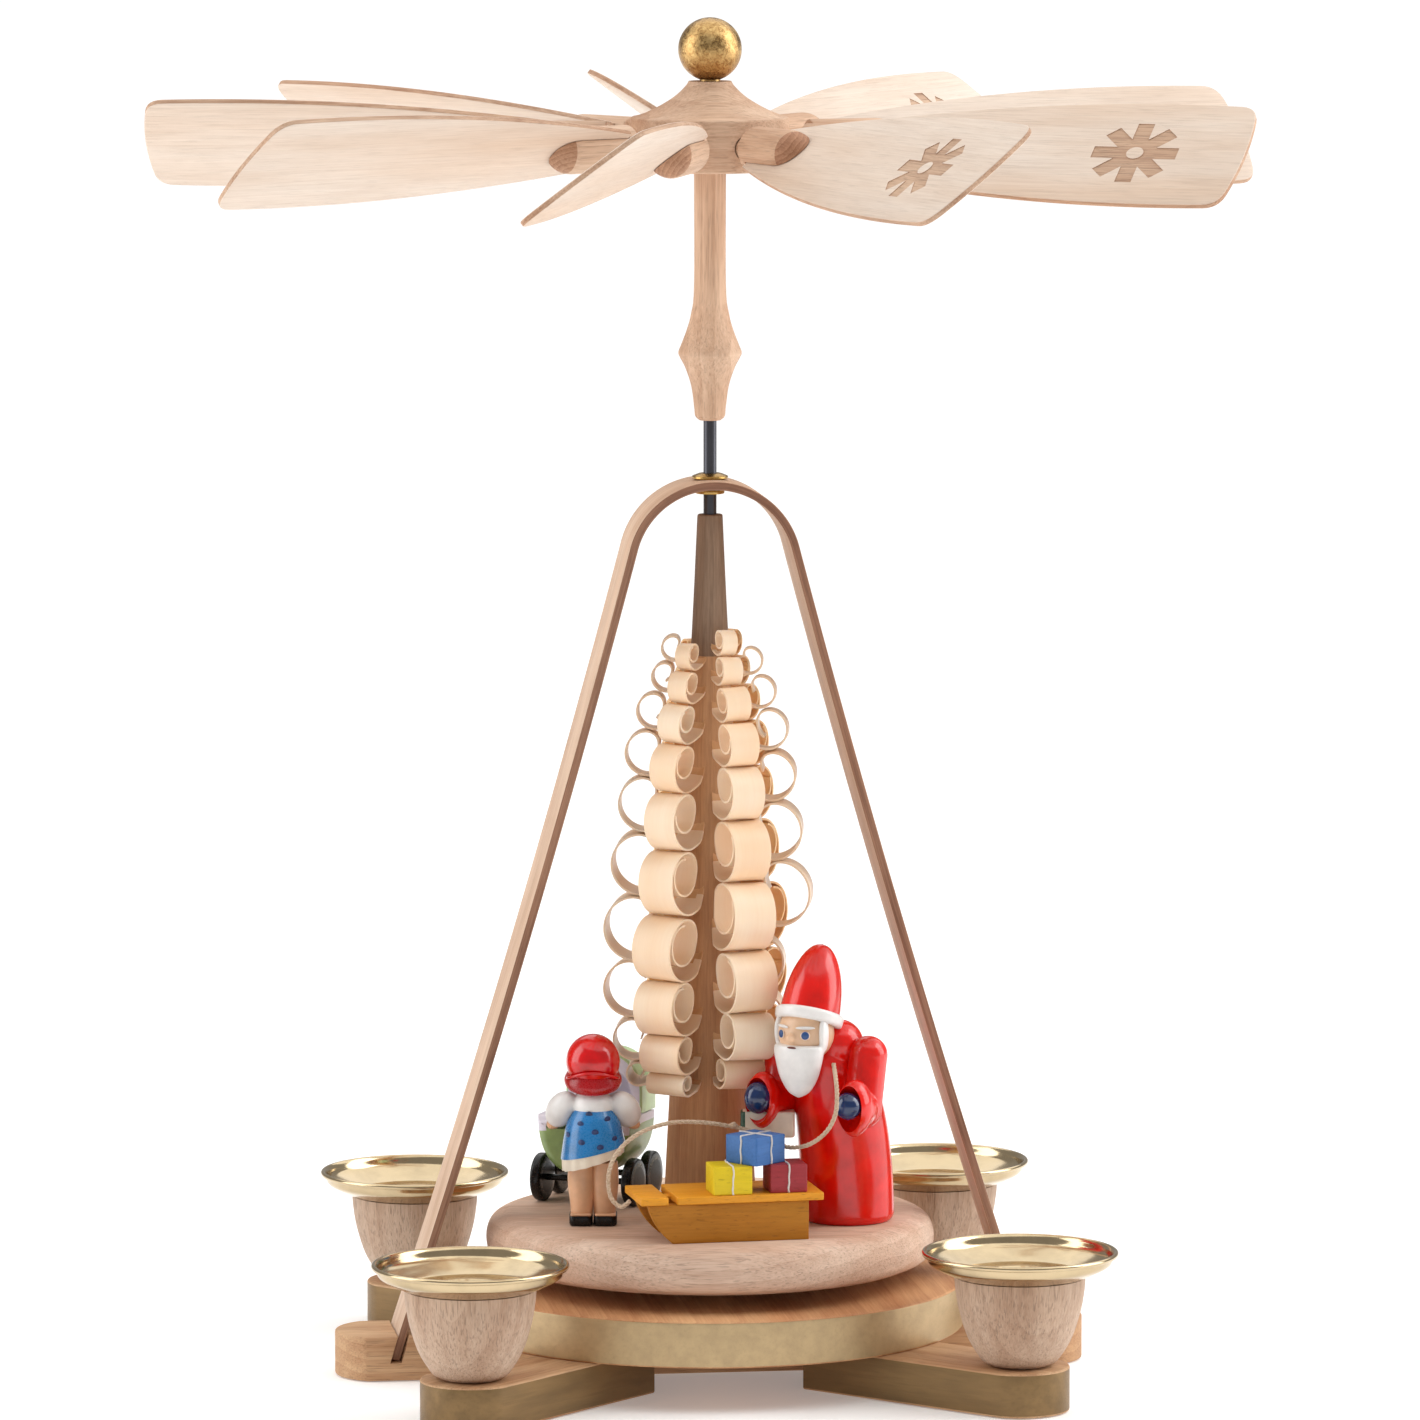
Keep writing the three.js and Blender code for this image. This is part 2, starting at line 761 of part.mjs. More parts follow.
function addBlade(index, wheel) {
  const radial = new THREE.Group();
  radial.position.z = stemAxis;
  radial.rotation.z = bladeAngles[index];
  const pitched = new THREE.Group();
  pitched.rotation.x = radians(bladePitch);
  radial.add(pitched);
  wheel.add(radial);
  piece(`blade_stem_${index + 1}`, stemShape(), bareWood, pitched);
  piece(`blade_${index + 1}`, bladeShape(), lindenWood, pitched);
}

// Gift bringer: local -Y is the way it faces, z from the turntable
function lean(geometry, height, shift) {
  const corners = geometry.attributes.position;
  for (let i = 0; i < corners.count; i += 1) {
    const share = Math.max(corners.getZ(i), 0) / height;
    corners.setY(i, corners.getY(i) - shift * Math.pow(share, 2.2));
  }
  return geometry;
}

function coatSolid(grow) {
  const profile = [
    [0, -grow],
    [coatRadius + grow, -grow],
    [coatRadius + grow, 0.08 * coatHeight],
    [0.99 * coatRadius + grow, 0.4 * coatHeight],
    [0.95 * coatRadius + grow, 0.66 * coatHeight],
    [0.84 * coatRadius + grow, 0.82 * coatHeight],
    [0.66 * coatRadius + grow, 0.93 * coatHeight],
    [0.3 * coatRadius + grow, coatHeight + grow],
    [0, coatHeight + grow],
  ];
  const coat = lean(turned(profile, 20), coatHeight, coatLean);
  const hood = ball(hoodRadius + grow, 0.44 * hoodRadius, 0.3 * hoodRadius - coatLean, coatHeight, 12);
  return join(coat, hood);
}

const headHeight = coatHeight + 0.55 * giverHeadRadius;
const headForward = coatLean + 0.95 * giverHeadRadius;

function giverHead() {
  const skull = ball(giverHeadRadius, headSide, -headForward, headHeight, 16);
  const nose = ball(noseRadius, headSide, -headForward - giverHeadRadius, headHeight, 8);
  const beard = turned(
    [
      [0, -beardLength],
      [0.5 * beardRadius, -0.9 * beardLength],
      [0.86 * beardRadius, -0.62 * beardLength],
      [beardRadius, -0.3 * beardLength],
      [0.86 * beardRadius, -beardTop],
      [0, -beardTop],
    ],
    12,
  )
    .scale(1, 0.66, 1)
    .translate(headSide, -headForward - 0.46 * giverHeadRadius, headHeight);
  return cut(join(skull, beard, nose), coatSolid(fit));
}

// The brim rests on the head, tipped back with the hat.
function giverHat() {
  const radius = 1.16 * giverHeadRadius;
  const profile = [
    [0, 0],
    [radius, 0],
    [1.04 * radius, 0.5 * brimHeight],
    [radius, brimHeight],
    [0.84 * radius, brimHeight],
    [0.82 * radius, 0.34 * hatHeight],
    [0.66 * radius, 0.62 * hatHeight],
    [0.44 * radius, 0.86 * hatHeight],
    [0.2 * radius, 0.98 * hatHeight],
    [0, hatHeight],
  ];
  const hat = turned(profile, 16)
    .translate(0, 0, 0.3 * giverHeadRadius)
    .rotateX(radians(hatTilt))
    .translate(headSide, -headForward, headHeight);
  const skull = ball(giverHeadRadius + fit, headSide, -headForward, headHeight, 16);
  return cut(hat, skull, coatSolid(fit));
}

// Upper arm down the side of the coat, forearm, open cuff and glove.
function giverArm(side) {
  const top = coatHeight - 0.5 * armRadius;
  const shoulder = [side * armSide, -coatLean + 1.4, top];
  const elbow = [side * armSide, -coatLean - 1, top - upperArm];
  const wrist = [side * armSide, -coatLean - 1 - forearm, top - upperArm + 1.2];
  const hand = [side * armSide, wrist[1] - cuffRadius, wrist[2] + 0.8];
  const cuff = new THREE.SphereGeometry(cuffRadius, 12, 8)
    .scale(1, cuffLength / cuffRadius, 1)
    .rotateX(Math.PI / 2)
    .translate(wrist[0], wrist[1] - 0.4 * cuffRadius, wrist[2]);
  const parts = [
    capsule(shoulder, elbow, armRadius, 8),
    capsule(elbow, wrist, armRadius, 8),
    cuff,
    ball(gloveRadius, ...hand, 10),
  ];
  if (side < 0) {
    const bottom = elbow[2] - 0.4 * armRadius - parcelHeight;
    const parcel = block(parcelLength, parcelDepth, parcelHeight, 0, 0, bottom).rotateZ(-radians(giverTurn));
    parts.push(parcel.translate(-armSide, -parcelForward, 0));
  }
  return cut(join(...parts), coatSolid(fit));
}

function addGiver(figures) {
  const giver = new THREE.Group();
  giver.position.set(...giverPlace, 0);
  giver.rotation.z = radians(giverTurn);
  figures.add(giver);
  piece("gift_bringer_coat", coatSolid(0), redPaint, giver);
  piece("gift_bringer_head", giverHead(), whitePaint, giver);
  piece("gift_bringer_hat", giverHat(), redPaint, giver);
  piece("gift_bringer_arm_left", giverArm(1), redPaint, giver);
  piece("gift_bringer_arm_right", giverArm(-1), redPaint, giver);
}

// Girl behind her pram: local -Y is the way she faces
function girlLegs() {
  const legs = [-1, 1].flatMap((side) => [
    block(shoeWidth, shoeLength, shoeHeight, side * 0.52 * shoeWidth, -0.08 * shoeLength, 0),
    rod(legRadius, 0.5 * shoeHeight, legHeight, 10).translate(side * 0.88 * legRadius, 0, 0),
  ]);
  return join(...legs);
}

function girlBody() {
  const waist = legHeight + skirtHeight;
  const neck = legHeight + torsoHeight;
  const trunk = turned(
    [
      [0, legHeight],
      [skirtRadius, legHeight],
      [0.92 * skirtRadius, legHeight + 0.45 * skirtHeight],
      [waistRadius, waist],
      [waistRadius, waist + 0.4 * (neck - waist)],
      [0.5 * waistRadius, neck],
      [0, neck],
    ],
    16,
  );
  const arms = [-1, 1].map((side) => {
    const shoulder = [side * 0.86 * sleeveSide, -0.4, waist + 0.5 * sleeveLength];
    const elbow = [side * sleeveSide * 1.08, -0.4 - sleeveLength, waist - 0.5 * sleeveLength];
    return capsule(shoulder, elbow, sleeveRadius, 8);
  });
  return join(trunk, ...arms);
}

function girlHead() {
  const centre = legHeight + torsoHeight + fit + girlHeadRadius;
  const flare = turned(
    [
      [0, -scarfDrop],
      [0.92 * scarfFlare, -scarfDrop],
      [scarfFlare, -0.7 * scarfDrop],
      [0.76 * scarfFlare, 0],
      [0, 0],
    ],
    14,
  )
    .rotateX(radians(scarfTilt))
    .translate(0, 0.1 * girlHeadRadius, centre);
  return join(ball(girlHeadRadius, 0, 0, centre, 14), flare);
}

function addGirl(figures) {
  const girl = new THREE.Group();
  girl.position.set(...girlPlace, 0);
  girl.rotation.z = radians(girlTurn);
  figures.add(girl);
  piece("girl_legs", girlLegs(), skinPaint, girl);
  piece("girl_body", girlBody(), bluePaint, girl);
  piece("girl_head", girlHead(), redPaint, girl);
}

// Doll's pram: local +Y is the way it is pushed
const pramFloor = pramWheelRadius + 1.4 * pramAxleRadius;
const pramRim = pramFloor + pramDepth;

function pramTub() {
  const outline = new THREE.Shape();
  outline.moveTo(-pramRadius, pramRim);
  outline.quadraticCurveTo(-pramRadius, pramFloor, 0, pramFloor);
  outline.quadraticCurveTo(pramRadius, pramFloor, pramRadius, pramRim);
  return slab(outline, pramWidth, 6);
}

// A tall arch in the XZ plane, drawn in from the hood's outside by a margin.
function hoodOutline(margin) {
  const side = hoodSide - margin;
  const outline = new THREE.Shape();
  outline.moveTo(side, pramRim);
  outline.absarc(0, pramRim + hoodStand, side, 0, Math.PI, false);
  outline.lineTo(-side, pramRim);
  return outline;
}

function pramHood() {
  const back = pramWidth / 2;
  const shell = slab(hoodOutline(0), hoodWidth, 6).translate(hoodShift, back - hoodWidth / 2, 0);
  const recess = slab(hoodOutline(hoodRim), hoodWidth, 6)
    .translate(hoodShift, back - hoodWidth / 2 - hoodRim, -fit);
  return cut(shell, recess);
}

function wheelPair(y) {
  const wheels = [-1, 1].map((side) =>
    rod(pramWheelRadius, -pramWheelWidth / 2, pramWheelWidth / 2, 16)
      .rotateY(Math.PI / 2)
      .translate((side * pramTrack) / 2, y, pramWheelRadius),
  );
  const axle = rod(pramAxleRadius, -pramTrack / 2, pramTrack / 2, 8)
    .rotateY(Math.PI / 2)
    .translate(0, y, pramWheelRadius);
  return join(...wheels, axle);
}

function addPram(figures) {
  const pram = new THREE.Group();
  pram.position.set(...pramPlace, 0);
  pram.rotation.z = radians(pramTurn);
  figures.add(pram);
  piece("pram_body", pramTub(), greenPaint, pram);
  piece("pram_hood", pramHood(), palePaint, pram);
  piece("pram_rear_wheels", wheelPair(-pramBase / 2), blackPaint, pram);
  piece("pram_front_wheels", wheelPair(pramBase / 2), blackPaint, pram);
}

// Sled with gifts: local -X is its front
const deckBottom = sledHeight - boardHeight;

function sledDeck() {
  const front = -sledLength / 2;
  const deckLength = sledLength - slatLength - slatGap;
  const slat = block(slatLength, sledWidth, boardHeight, front + slatLength / 2, 0, deckBottom);
  const deck = block(deckLength, sledWidth, boardHeight, sledLength / 2 - deckLength / 2, 0, deckBottom);
  const spine = block(sledLength - slatLength, spineWidth, boardHeight / 2, 0, 0, deckBottom);
  return join(slat, deck, spine);
}

function sledRunner(side) {
  const back = 0.42 * sledLength;
  const front = -0.46 * sledLength;
  const outline = new THREE.Shape();
  outline.moveTo(back, 0);
  outline.lineTo(back, deckBottom);
  outline.lineTo(front, deckBottom);
  outline.quadraticCurveTo(0.93 * front, 0.4 * deckBottom, 0.7 * front, 0);
  const y = side * (sledWidth / 2 - runnerInset - runnerThickness / 2);
  return slab(outline, runnerThickness, 4).translate(0, y, 0);
}

function addSled(figures) {
  const sled = new THREE.Group();
  sled.position.set(...sledPlace, 0);
  sled.rotation.z = radians(sledTurn);
  figures.add(sled);
  piece("sled_deck", sledDeck(), ochrePaint, sled);
  piece("sled_runner_left", sledRunner(-1), ochrePaint, sled);
  piece("sled_runner_right", sledRunner(1), ochrePaint, sled);
  piece("gift_yellow", gift(yellowGift, 0, sledHeight), yellowPaint, sled);
  piece("gift_red", gift(redGift, 0, sledHeight), darkRedPaint, sled);
  piece("gift_blue", gift(blueGift, blueTurn, sledHeight + giftHeight), giftBluePaint, sled);
}

function gift([along, across, width], turnDegrees, bottom) {
  return block(width, width, giftHeight, 0, 0, bottom)
    .rotateZ(radians(turnDegrees))
    .translate(along, across, 0);
}

function cordShape() {
  const points = cordRoute.map((point) => new THREE.Vector3(...point));
  const route = new THREE.CatmullRomCurve3(points, false, "centripetal");
  const section = new THREE.Shape();
  section.absarc(0, 0, cordRadius, 0, 2 * Math.PI, false);
  const settings = { steps: cordSteps, curveSegments: cordSides / 2, extrudePath: route };
  return new THREE.ExtrudeGeometry(section, settings);
}

// Assembly
const pyramid = new THREE.Group();

piece("base_plate", plateShape(), peachWood, pyramid);
piece("crossbar", crossbarShape(), bareWood, pyramid);
piece("arch", archShape(), bareWood, pyramid);
piece("arch_bush", bushShape(), brassSheet, pyramid);
piece("bearing_cup", bearingShape(), brassSheet, pyramid);

const corners = [
  ["front_right", -armAngle],
  ["rear_right", armAngle],
  ["rear_left", 180 - armAngle],
  ["front_left", 180 + armAngle],
];
for (const [place, angle] of corners) {
  const arm = new THREE.Group();
  arm.rotation.z = radians(angle);
  pyramid.add(arm);
  piece(`arm_${place}`, armShape(), goldPaint, arm);
  piece(`candle_cup_${place}`, cupShape(), bareWood, arm).position.x = cupRadiusFromAxle;
  piece(`drip_dish_${place}`, dishShape(), brassSheet, arm).position.x = cupRadiusFromAxle;
}

const turntable = new THREE.Group();
turntable.rotation.z = radians(displayTurn);
pyramid.add(turntable);
piece("turntable", tableShape(), bareWood, turntable);
piece("curl_tree", treeShape(), bareWood, turntable);
piece("axle_rod", axleShape(), steel, turntable);

const figures = new THREE.Group();
figures.position.z = tableTop;
turntable.add(figures);
addGiver(figures);
addGirl(figures);
addPram(figures);
addSled(figures);
piece("sled_cord", cordShape(), twine, turntable);

const wheel = new THREE.Group();
pyramid.add(wheel);
piece("spindle", spindleShape(), bareWood, wheel);
piece("hub", hubShape(), bareWood, wheel);
piece("ball", ballShape(), leafGold, wheel);
bladeAngles.forEach((_, index) => addBlade(index, wheel));

export default pyramid;
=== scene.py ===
# A wooden candle pyramid, dressed round its CAD frame: turned and bent wood,
# brass drip dishes, a curl tree, painted figures and a twisted sled cord.
# Shapes are worked out in millimetres, in each piece's own frame, and placed in
# metres. The turntable's pieces share a frame that is turned with it.

import itertools
import math
import random

import bmesh
import bpy
from mathutils import Matrix, Vector, noise


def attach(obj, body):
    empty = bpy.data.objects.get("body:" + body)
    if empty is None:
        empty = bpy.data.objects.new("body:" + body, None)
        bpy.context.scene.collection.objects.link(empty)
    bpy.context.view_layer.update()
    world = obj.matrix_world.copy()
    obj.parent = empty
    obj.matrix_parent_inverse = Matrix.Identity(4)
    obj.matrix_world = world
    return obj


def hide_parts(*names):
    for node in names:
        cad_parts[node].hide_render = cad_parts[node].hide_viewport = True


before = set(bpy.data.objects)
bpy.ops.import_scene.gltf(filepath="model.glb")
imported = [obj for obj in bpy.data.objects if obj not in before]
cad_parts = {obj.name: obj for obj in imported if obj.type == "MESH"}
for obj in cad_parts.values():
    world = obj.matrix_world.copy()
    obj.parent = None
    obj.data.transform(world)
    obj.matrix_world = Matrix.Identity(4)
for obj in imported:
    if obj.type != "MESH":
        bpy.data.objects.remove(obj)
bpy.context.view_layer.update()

MM = 0.001
SIDES = (("left", 1), ("right", -1))
ALL_AXES = {"use_axis_x": True, "use_axis_y": True, "use_axis_z": True}

# Base
board_thickness = 9.5
board_edge = 0.45
arm_width = 21
arm_inner = 33
cup_radius_from_axle = 82
arm_end_bulge = 8.5
arm_angle = 45
bar_length = 162
bar_width = 20
bar_end_bulge = 6
slot_depth = 5.7
fit = 0.3
running = 0.1
plate_radius = 54.6
plate_thickness = 9.9
plate_top = board_thickness + plate_thickness

# Candle cups and drip dishes
cup_height = 19
cup_top_radius = 13.8
cup_foot_radius = 5.6
socket_radius = 7.15
socket_depth = 12
brass_sheet = 0.7
dish_radius = 20.7
dish_rise = 5.4
dish_rim = 0.55

# Arch and its bush
arch_top = 191.7
arch_thickness = 1.8
arch_width = 16
arch_radius = 18.8
arch_foot = 67.2
arch_bow = 1.4
bush_flange_radius = 3.85
bush_flange = 1.2
bush_wall = 0.8

# Axle and bearing
axle_radius = 1.4
axle_tip = 5
axle_top = 248.6
bearing_radius = 4
bearing_depth = 6.2
bearing_seat = 3

# Turntable and curl tree
table_bottom = plate_top + 3.9
table_thickness = 10.2
table_top = table_bottom + table_thickness
table_radius = 48
table_flat = 43.4
trunk_height = 150.6
trunk_foot_radius = 10.2
trunk_top_radius = 2.7
curl_thickness = 0.42
# how far out from the trunk the curls wear the darker tan root look, painted shade where they meet the
# trunk
curl_root_shade_reach = 1.2
curl_columns = 6
first_column = -64
curl_top = 126.5
tier_heights = [5.6, 6.2, 7.5, 9.3, 11.4, 13.2, 14.6, 13.2, 10.2, 6.6]
tier_reaches = [10.3, 12, 15.2, 17.8, 19.3, 20.6, 22.7, 22.9, 22.5, 18]
tier_widths = [3.4, 4.5, 5.5, 6.5, 7.5, 8.5, 9.6, 9.8, 9.8, 9.5]
column_drops = [0, 0.75, 0.2, 0.6, 0.3, 0.5]
last_drop = 3
figure_side_reach = 16.4
figure_side_top = 60

# Winged wheel
hub_bottom = 257.6
hub_radius = 16.8
hub_rim = 11.2
hub_height = 18.7
ball_radius = 6.75
ball_peg = 2.2
ball_peg_length = 6
spindle_bottom = 204.2
spindle_neck = 3.4
spindle_peg = 2.6
spindle_peg_length = 8.4
spindle_bulge = 6.75
spindle_bulge_height = 14.5
blade_count = 9
first_blade = 9.8
blade_pitch = 36.8
stem_axis = hub_bottom + 5.3
stem_radius = 4.95
stem_length = 20
stem_standoff = 5.2
stem_peg = 2.4
stem_peg_length = 6
blade_thickness = 1.25
blade_root = 24.6
blade_tip = 118.6
blade_root_width = 12
blade_tip_width = 31.2
blade_belly = 36.4
blade_tip_bulge = 1.5
blade_corner = 2.2
star_rays = 8
star_centre = 96
star_radius = 9.35
star_ray = 3.6
star_hole = 1.85
star_depth = 0.16

# Gift bringer on the turntable
display_turn = -7.5
giver_place = (29.4, -9.8)
giver_turn = -32
coat_radius = 10
coat_height = 39
coat_lean = 9.5
hood_radius = 5.5
giver_head = 6.1
head_side = -1
hat_height = 17.4
hat_tilt = -20
brim_height = 2.6
eye_side = 29
arm_side = 10.7
arm_radius = 3.2
upper_arm = 11.4
forearm = 5.4
cuff_radius = 3.6
cuff_length = 6.2
glove_radius = 2.9
parcel_length = 11.6
parcel_depth = 5
parcel_height = 5.6
parcel_forward = 15.2

# Girl
girl_place = (-24.9, -16.5)
girl_turn = 180
girl_head = 5.9
scarf_flare = 6.3
scarf_drop = 5.6
scarf_tilt = -16
skirt_radius = 6.9
skirt_height = 11
skirt_spots = [
    (2.6, 22.4), (-3.1, 23.4), (-0.5, 20.8), (5.3, 19.8),
    (2.4, 18.6), (-4.6, 19.2), (-1.6, 17.6), (0.8, 24.4),
]
torso_height = 15.4
leg_height = 13.6
leg_radius = 2.7
shoe_length = 7.6
shoe_width = 5
shoe_height = 2.6
sleeve_radius = 3.2
sleeve_length = 2.6
sleeve_side = 6.9

# Doll's pram
pram_place = (-24.6, 14.7)
pram_turn = -20
pram_radius = 10.7
pram_width = 19
pram_wheel = 5.2
pram_wheel_width = 2.8
pram_axle = 0.7
pram_depth = 13
pram_base = 10.5
pram_track = 21
hood_width = 9
hood_side = 8.8
hood_shift = 1.5
hood_stand = 4.6
hood_rim = 2.4

# Sled and gifts
sled_place = (3, -30)
sled_turn = 12
sled_length = 39.5
sled_width = 17.6
sled_height = 10
board_height = 1.6
slat_length = 6
slat_gap = 1.8
runner_thickness = 2.2
runner_inset = 0.6
gift_height = 6

# Sled cord, from the front slat over to the gift bringer's collar
cord_diameter = 1.0
cord_lay = 3.4
strand_radius = 0.28
strand_offset = 0.22
cord_knot = (5, -22.7, 55.9)
cord_route = [
    (-16.9, -34.3, 41.6), (-18.8, -34.2, 40.4), (-20.8, -33.6, 42), (-21.5, -32.6, 45),
    (-21.1, -31.6, 48.4), (-19.5, -30.4, 51.5), (-16.7, -29, 54.1), (-12.8, -27.4, 56),
    (-8, -25.8, 57), (-3, -24.4, 56.9), (2, -23.2, 56.2), (8, -22.4, 54.8),
    (13, -24, 53), (16.6, -27.4, 52), (20.8, -31.4, 53.2), (24.4, -34.8, 56.4),
    (26.4, -36.6, 60.4), (26.8, -35.2, 64.4), (26.6, -31.2, 67.2), (26.2, -26.2, 69.6),
]

# Camera, as the photograph was taken, and the light
camera_place = (-261.05, -1982.9, 386)
camera_target = (0, 0, 142)
camera_lens = 239.07
camera_sensor = 36
light_target = (0, 0, 0.14)
box_size = (0.7, 1.1)
right_box = ((1.0, -0.1, 0.6), 9)
left_box = ((-1.05, 0.0, 0.55), 7)
sky_strength = 2.1
fill_strength = 0.34
floor_glow = 0.2


# Numbers and places
def spread(start, end, steps):
    return [start + (end - start) * step / steps for step in range(steps + 1)]


def turn(degrees, axis="Z"):
    return Matrix.Rotation(math.radians(degrees), 4, axis)


def move(x, y, z=0.0):
    return Matrix.Translation((x, y, z))


def polar(radius, angle, x=0.0, y=0.0):
    """A point on a circle round (x, y)."""
    return Vector((x + radius * math.cos(angle), y + radius * math.sin(angle)))


def shares(wide, tall, *points):
    return [(a * wide, b * tall) for a, b in points]


def runs(dots):
    """How far along a line each of its points is."""
    return [0.0, *itertools.accumulate((b - a).length for a, b in zip(dots, dots[1:]))]


def headings(dots):
    last = len(dots) - 1
    return [(dots[min(i + 1, last)] - dots[max(i - 1, 0)]).normalized() for i in range(last + 1)]


def through(points, steps):
    """A smooth line through the points, with so many steps between two of them."""
    dots = [Vector(point) for point in points]
    ends = [2 * dots[0] - dots[1], *dots, 2 * dots[-1] - dots[-2]]
    line = []
    for a, b, c, d in zip(ends, ends[1:], ends[2:], ends[3:]):
        for t in spread(0, 1, steps)[:-1]:
            low = 0.5 * ((2 * b) + (c - a) * t + (2 * a - 5 * b + 4 * c - d) * t**2)
            line.append(low + 0.5 * (3 * b - a - 3 * c + d) * t**3)
    return line + [dots[-1]]


def bend(start, control, end, steps):
    start, control, end = Vector(start), Vector(control), Vector(end)
    return [(1 - t) ** 2 * start + 2 * t * (1 - t) * control + t**2 * end for t in spread(0, 1, steps)]


def rounded(points, radius, steps=4, closed=False):
    """The points of a line with its corners rounded off."""
    dots = [Vector(point) for point in points]
    line = []
    for i, corner in enumerate(dots):
        if not closed and i in (0, len(dots) - 1):
            line.append(corner)
            continue
        back = dots[i - 1] - corner
        on = dots[(i + 1) % len(dots)] - corner
        cut = min(radius, 0.46 * back.length, 0.46 * on.length)
        line += bend(corner + back.normalized() * cut, corner, corner + on.normalized() * cut, steps)
    return line


# Meshes
def stitch(bm, low, high):
    """Faces between two rings of vertices, either of which may be a single point."""
    for step in range(max(len(low), len(high))):
        corners = ((low, step), (low, step + 1), (high, step + 1), (high, step))
        bm.faces.new(dict.fromkeys(ring[number % len(ring)] for ring, number in corners))


def lathe(profile, sides=96, closed=False, shape=None):
    """A solid turned about Z from (radius, height) points; shape may change a radius."""
    bm = bmesh.new()
    rings = []
    for radius, height in profile:
        if radius < 1e-6:
            rings.append([bm.verts.new((0, 0, height))])
            continue
        ring = []
        for angle in spread(0, math.tau, sides)[:-1]:
            wide = shape(angle, radius, height) if shape else radius
            ring.append(bm.verts.new((wide * math.cos(angle), wide * math.sin(angle), height)))
        rings.append(ring)
    if closed:
        rings.append(rings[0])
    for low, high in zip(rings, rings[1:]):
        if len(low) + len(high) > 2:
            stitch(bm, low, high)
    return bm


def drill(radius, low, high):
    """A tool for a round hole."""
    return lathe([(0, low), (radius, low), (radius, high), (0, high)], 32)


def loft(rings):
    """A closed solid through rings of points, with a flat face on each end."""
    bm = bmesh.new()
    made = [[bm.verts.new(point) for point in ring] for ring in rings]
    for low, high in zip(made, made[1:]):
        stitch(bm, low, high)
    bm.faces.new(made[0])
    bm.faces.new(made[-1])
    return bm


def drawn_in(outline, depth):
    """A counterclockwise outline moved inwards."""
    dots = [Vector(point[:2]) for point in outline]
    moved = []
    for i, dot in enumerate(dots):
        back = (dot - dots[i - 1]).normalized()
        on = (dots[(i + 1) % len(dots)] - dot).normalized()
        inward = Vector((-back.y - on.y, back.x + on.x)).normalized()
        moved.append(dot + inward * (depth / max(0.4, inward.dot(Vector((-on.y, on.x))))))
    return moved


def board(outline, bottom, top, edge=0.5, steps=3):
    """A board of a counterclockwise outline, with rounded edges all round."""
    rings = []
    quarter = [math.pi / 2 * share for share in spread(0, 1, steps)]
    for face, way, angles in ((bottom, edge, quarter), (top, -edge, quarter[::-1])):
        for angle in angles:
            level = face + way * (1 - math.cos(angle))
            rings.append([(*dot, level) for dot in drawn_in(outline, edge * (1 - math.sin(angle)))])
    return loft(rings)


def box(length, width, height, x=0.0, y=0.0, bottom=0.0, edge=0.25):
    """A block with rounded edges, or with sharp ones where edge is 0."""
    a, b = length / 2, width / 2
    outline = [(x - a, y - b), (x + a, y - b), (x + a, y + b), (x - a, y + b)]
    if not edge:
        return loft([[(*dot, z) for dot in outline] for z in (bottom, bottom + height)])
    return board(rounded(outline, 2 * edge, 3, True), bottom, bottom + height, edge)


def frames_along(path):
    """A direction and two square to it at each point of a line in space."""
    turns = []
    for direction in headings(path):
        side = turns[-1][1] if turns else direction.orthogonal().normalized()
        side = (side - direction * side.dot(direction)).normalized()
        turns.append((direction, side, direction.cross(side)))
    return turns


def tube(path, radius, sides=8):
    """A round rod along a line of points, with domed ends. radius may be a list."""
    dots = [Vector(point) for point in path]
    radii = radius if isinstance(radius, list) else [radius] * len(dots)
    turns = frames_along(dots)
    rings = []
    for dot, wide, (_, side, up) in zip(dots, radii, turns):
        angles = spread(0, math.tau, sides)[:-1]
        rings.append([dot + wide * (side * math.cos(a) + up * math.sin(a)) for a in angles])
    caps = []
    for end, way in ((0, -1), (-1, 1)):
        dome = turns[end][0] * way * radii[end] * 0.5
        caps.append([dots[end] + (point - dots[end]) * 0.6 + dome for point in rings[end]])
    return loft([caps[0], *rings, caps[1]])


def band(path, section, widths=None):
    """A strip along a line of (x, z) points. section holds (across, thick) points, across
    being along Y. Its grain coordinates run along the strip."""
    dots = [Vector(point) for point in path]
    rings, grains = [], []
    for dot, along, run, wide in zip(dots, headings(dots), runs(dots), widths or [1.0] * len(dots)):
        out = Vector((-along.y, along.x))
        spots = [dot + out * thick for _, thick in section]
        rings.append([(spot.x, across * wide, spot.y) for spot, (across, _) in zip(spots, section)])
        grains += [(run, across * wide, thick) for across, thick in section]
    bm = loft(rings)
    layer = bm.verts.layers.float_vector.new("grain")
    for vert, grain in zip(bm.verts, grains):
        vert[layer] = grain
    return bm


def blob(centre, radii, tilt=None, fine=4):
    """An egg of three radii."""
    bm = bmesh.new()
    bmesh.ops.create_icosphere(bm, subdivisions=fine, radius=1)
    return moved(bm, Matrix.Translation(centre) @ (tilt or Matrix()) @ Matrix.Diagonal((*radii, 1)))


def moved(bm, matrix):
    bm.transform(matrix)
    return bm


def pulled(bm, change):
    for vert in bm.verts:
        vert.co = change(vert.co)
    return bm


def baked(bm, name="work"):
    """The Blender mesh that a bmesh ends as."""
    mesh = bpy.data.meshes.new(name)
    bm.to_mesh(mesh)
    bm.free()
    return mesh


def linked(name, data):
    """A new object in the scene."""
    made = bpy.data.objects.new(name, data)
    bpy.context.collection.objects.link(made)
    return made


def together(*solids):
    """Several meshes in one, each left as it is."""
    whole = bmesh.new()
    for solid in solids:
        mesh = baked(solid)
        whole.from_mesh(mesh)
        bpy.data.meshes.remove(mesh)
    return whole


def worked(bm):
    """An object for a modifier, with its faces turned outwards."""
    bmesh.ops.recalc_face_normals(bm, faces=bm.faces)
    return linked("work", baked(bm))


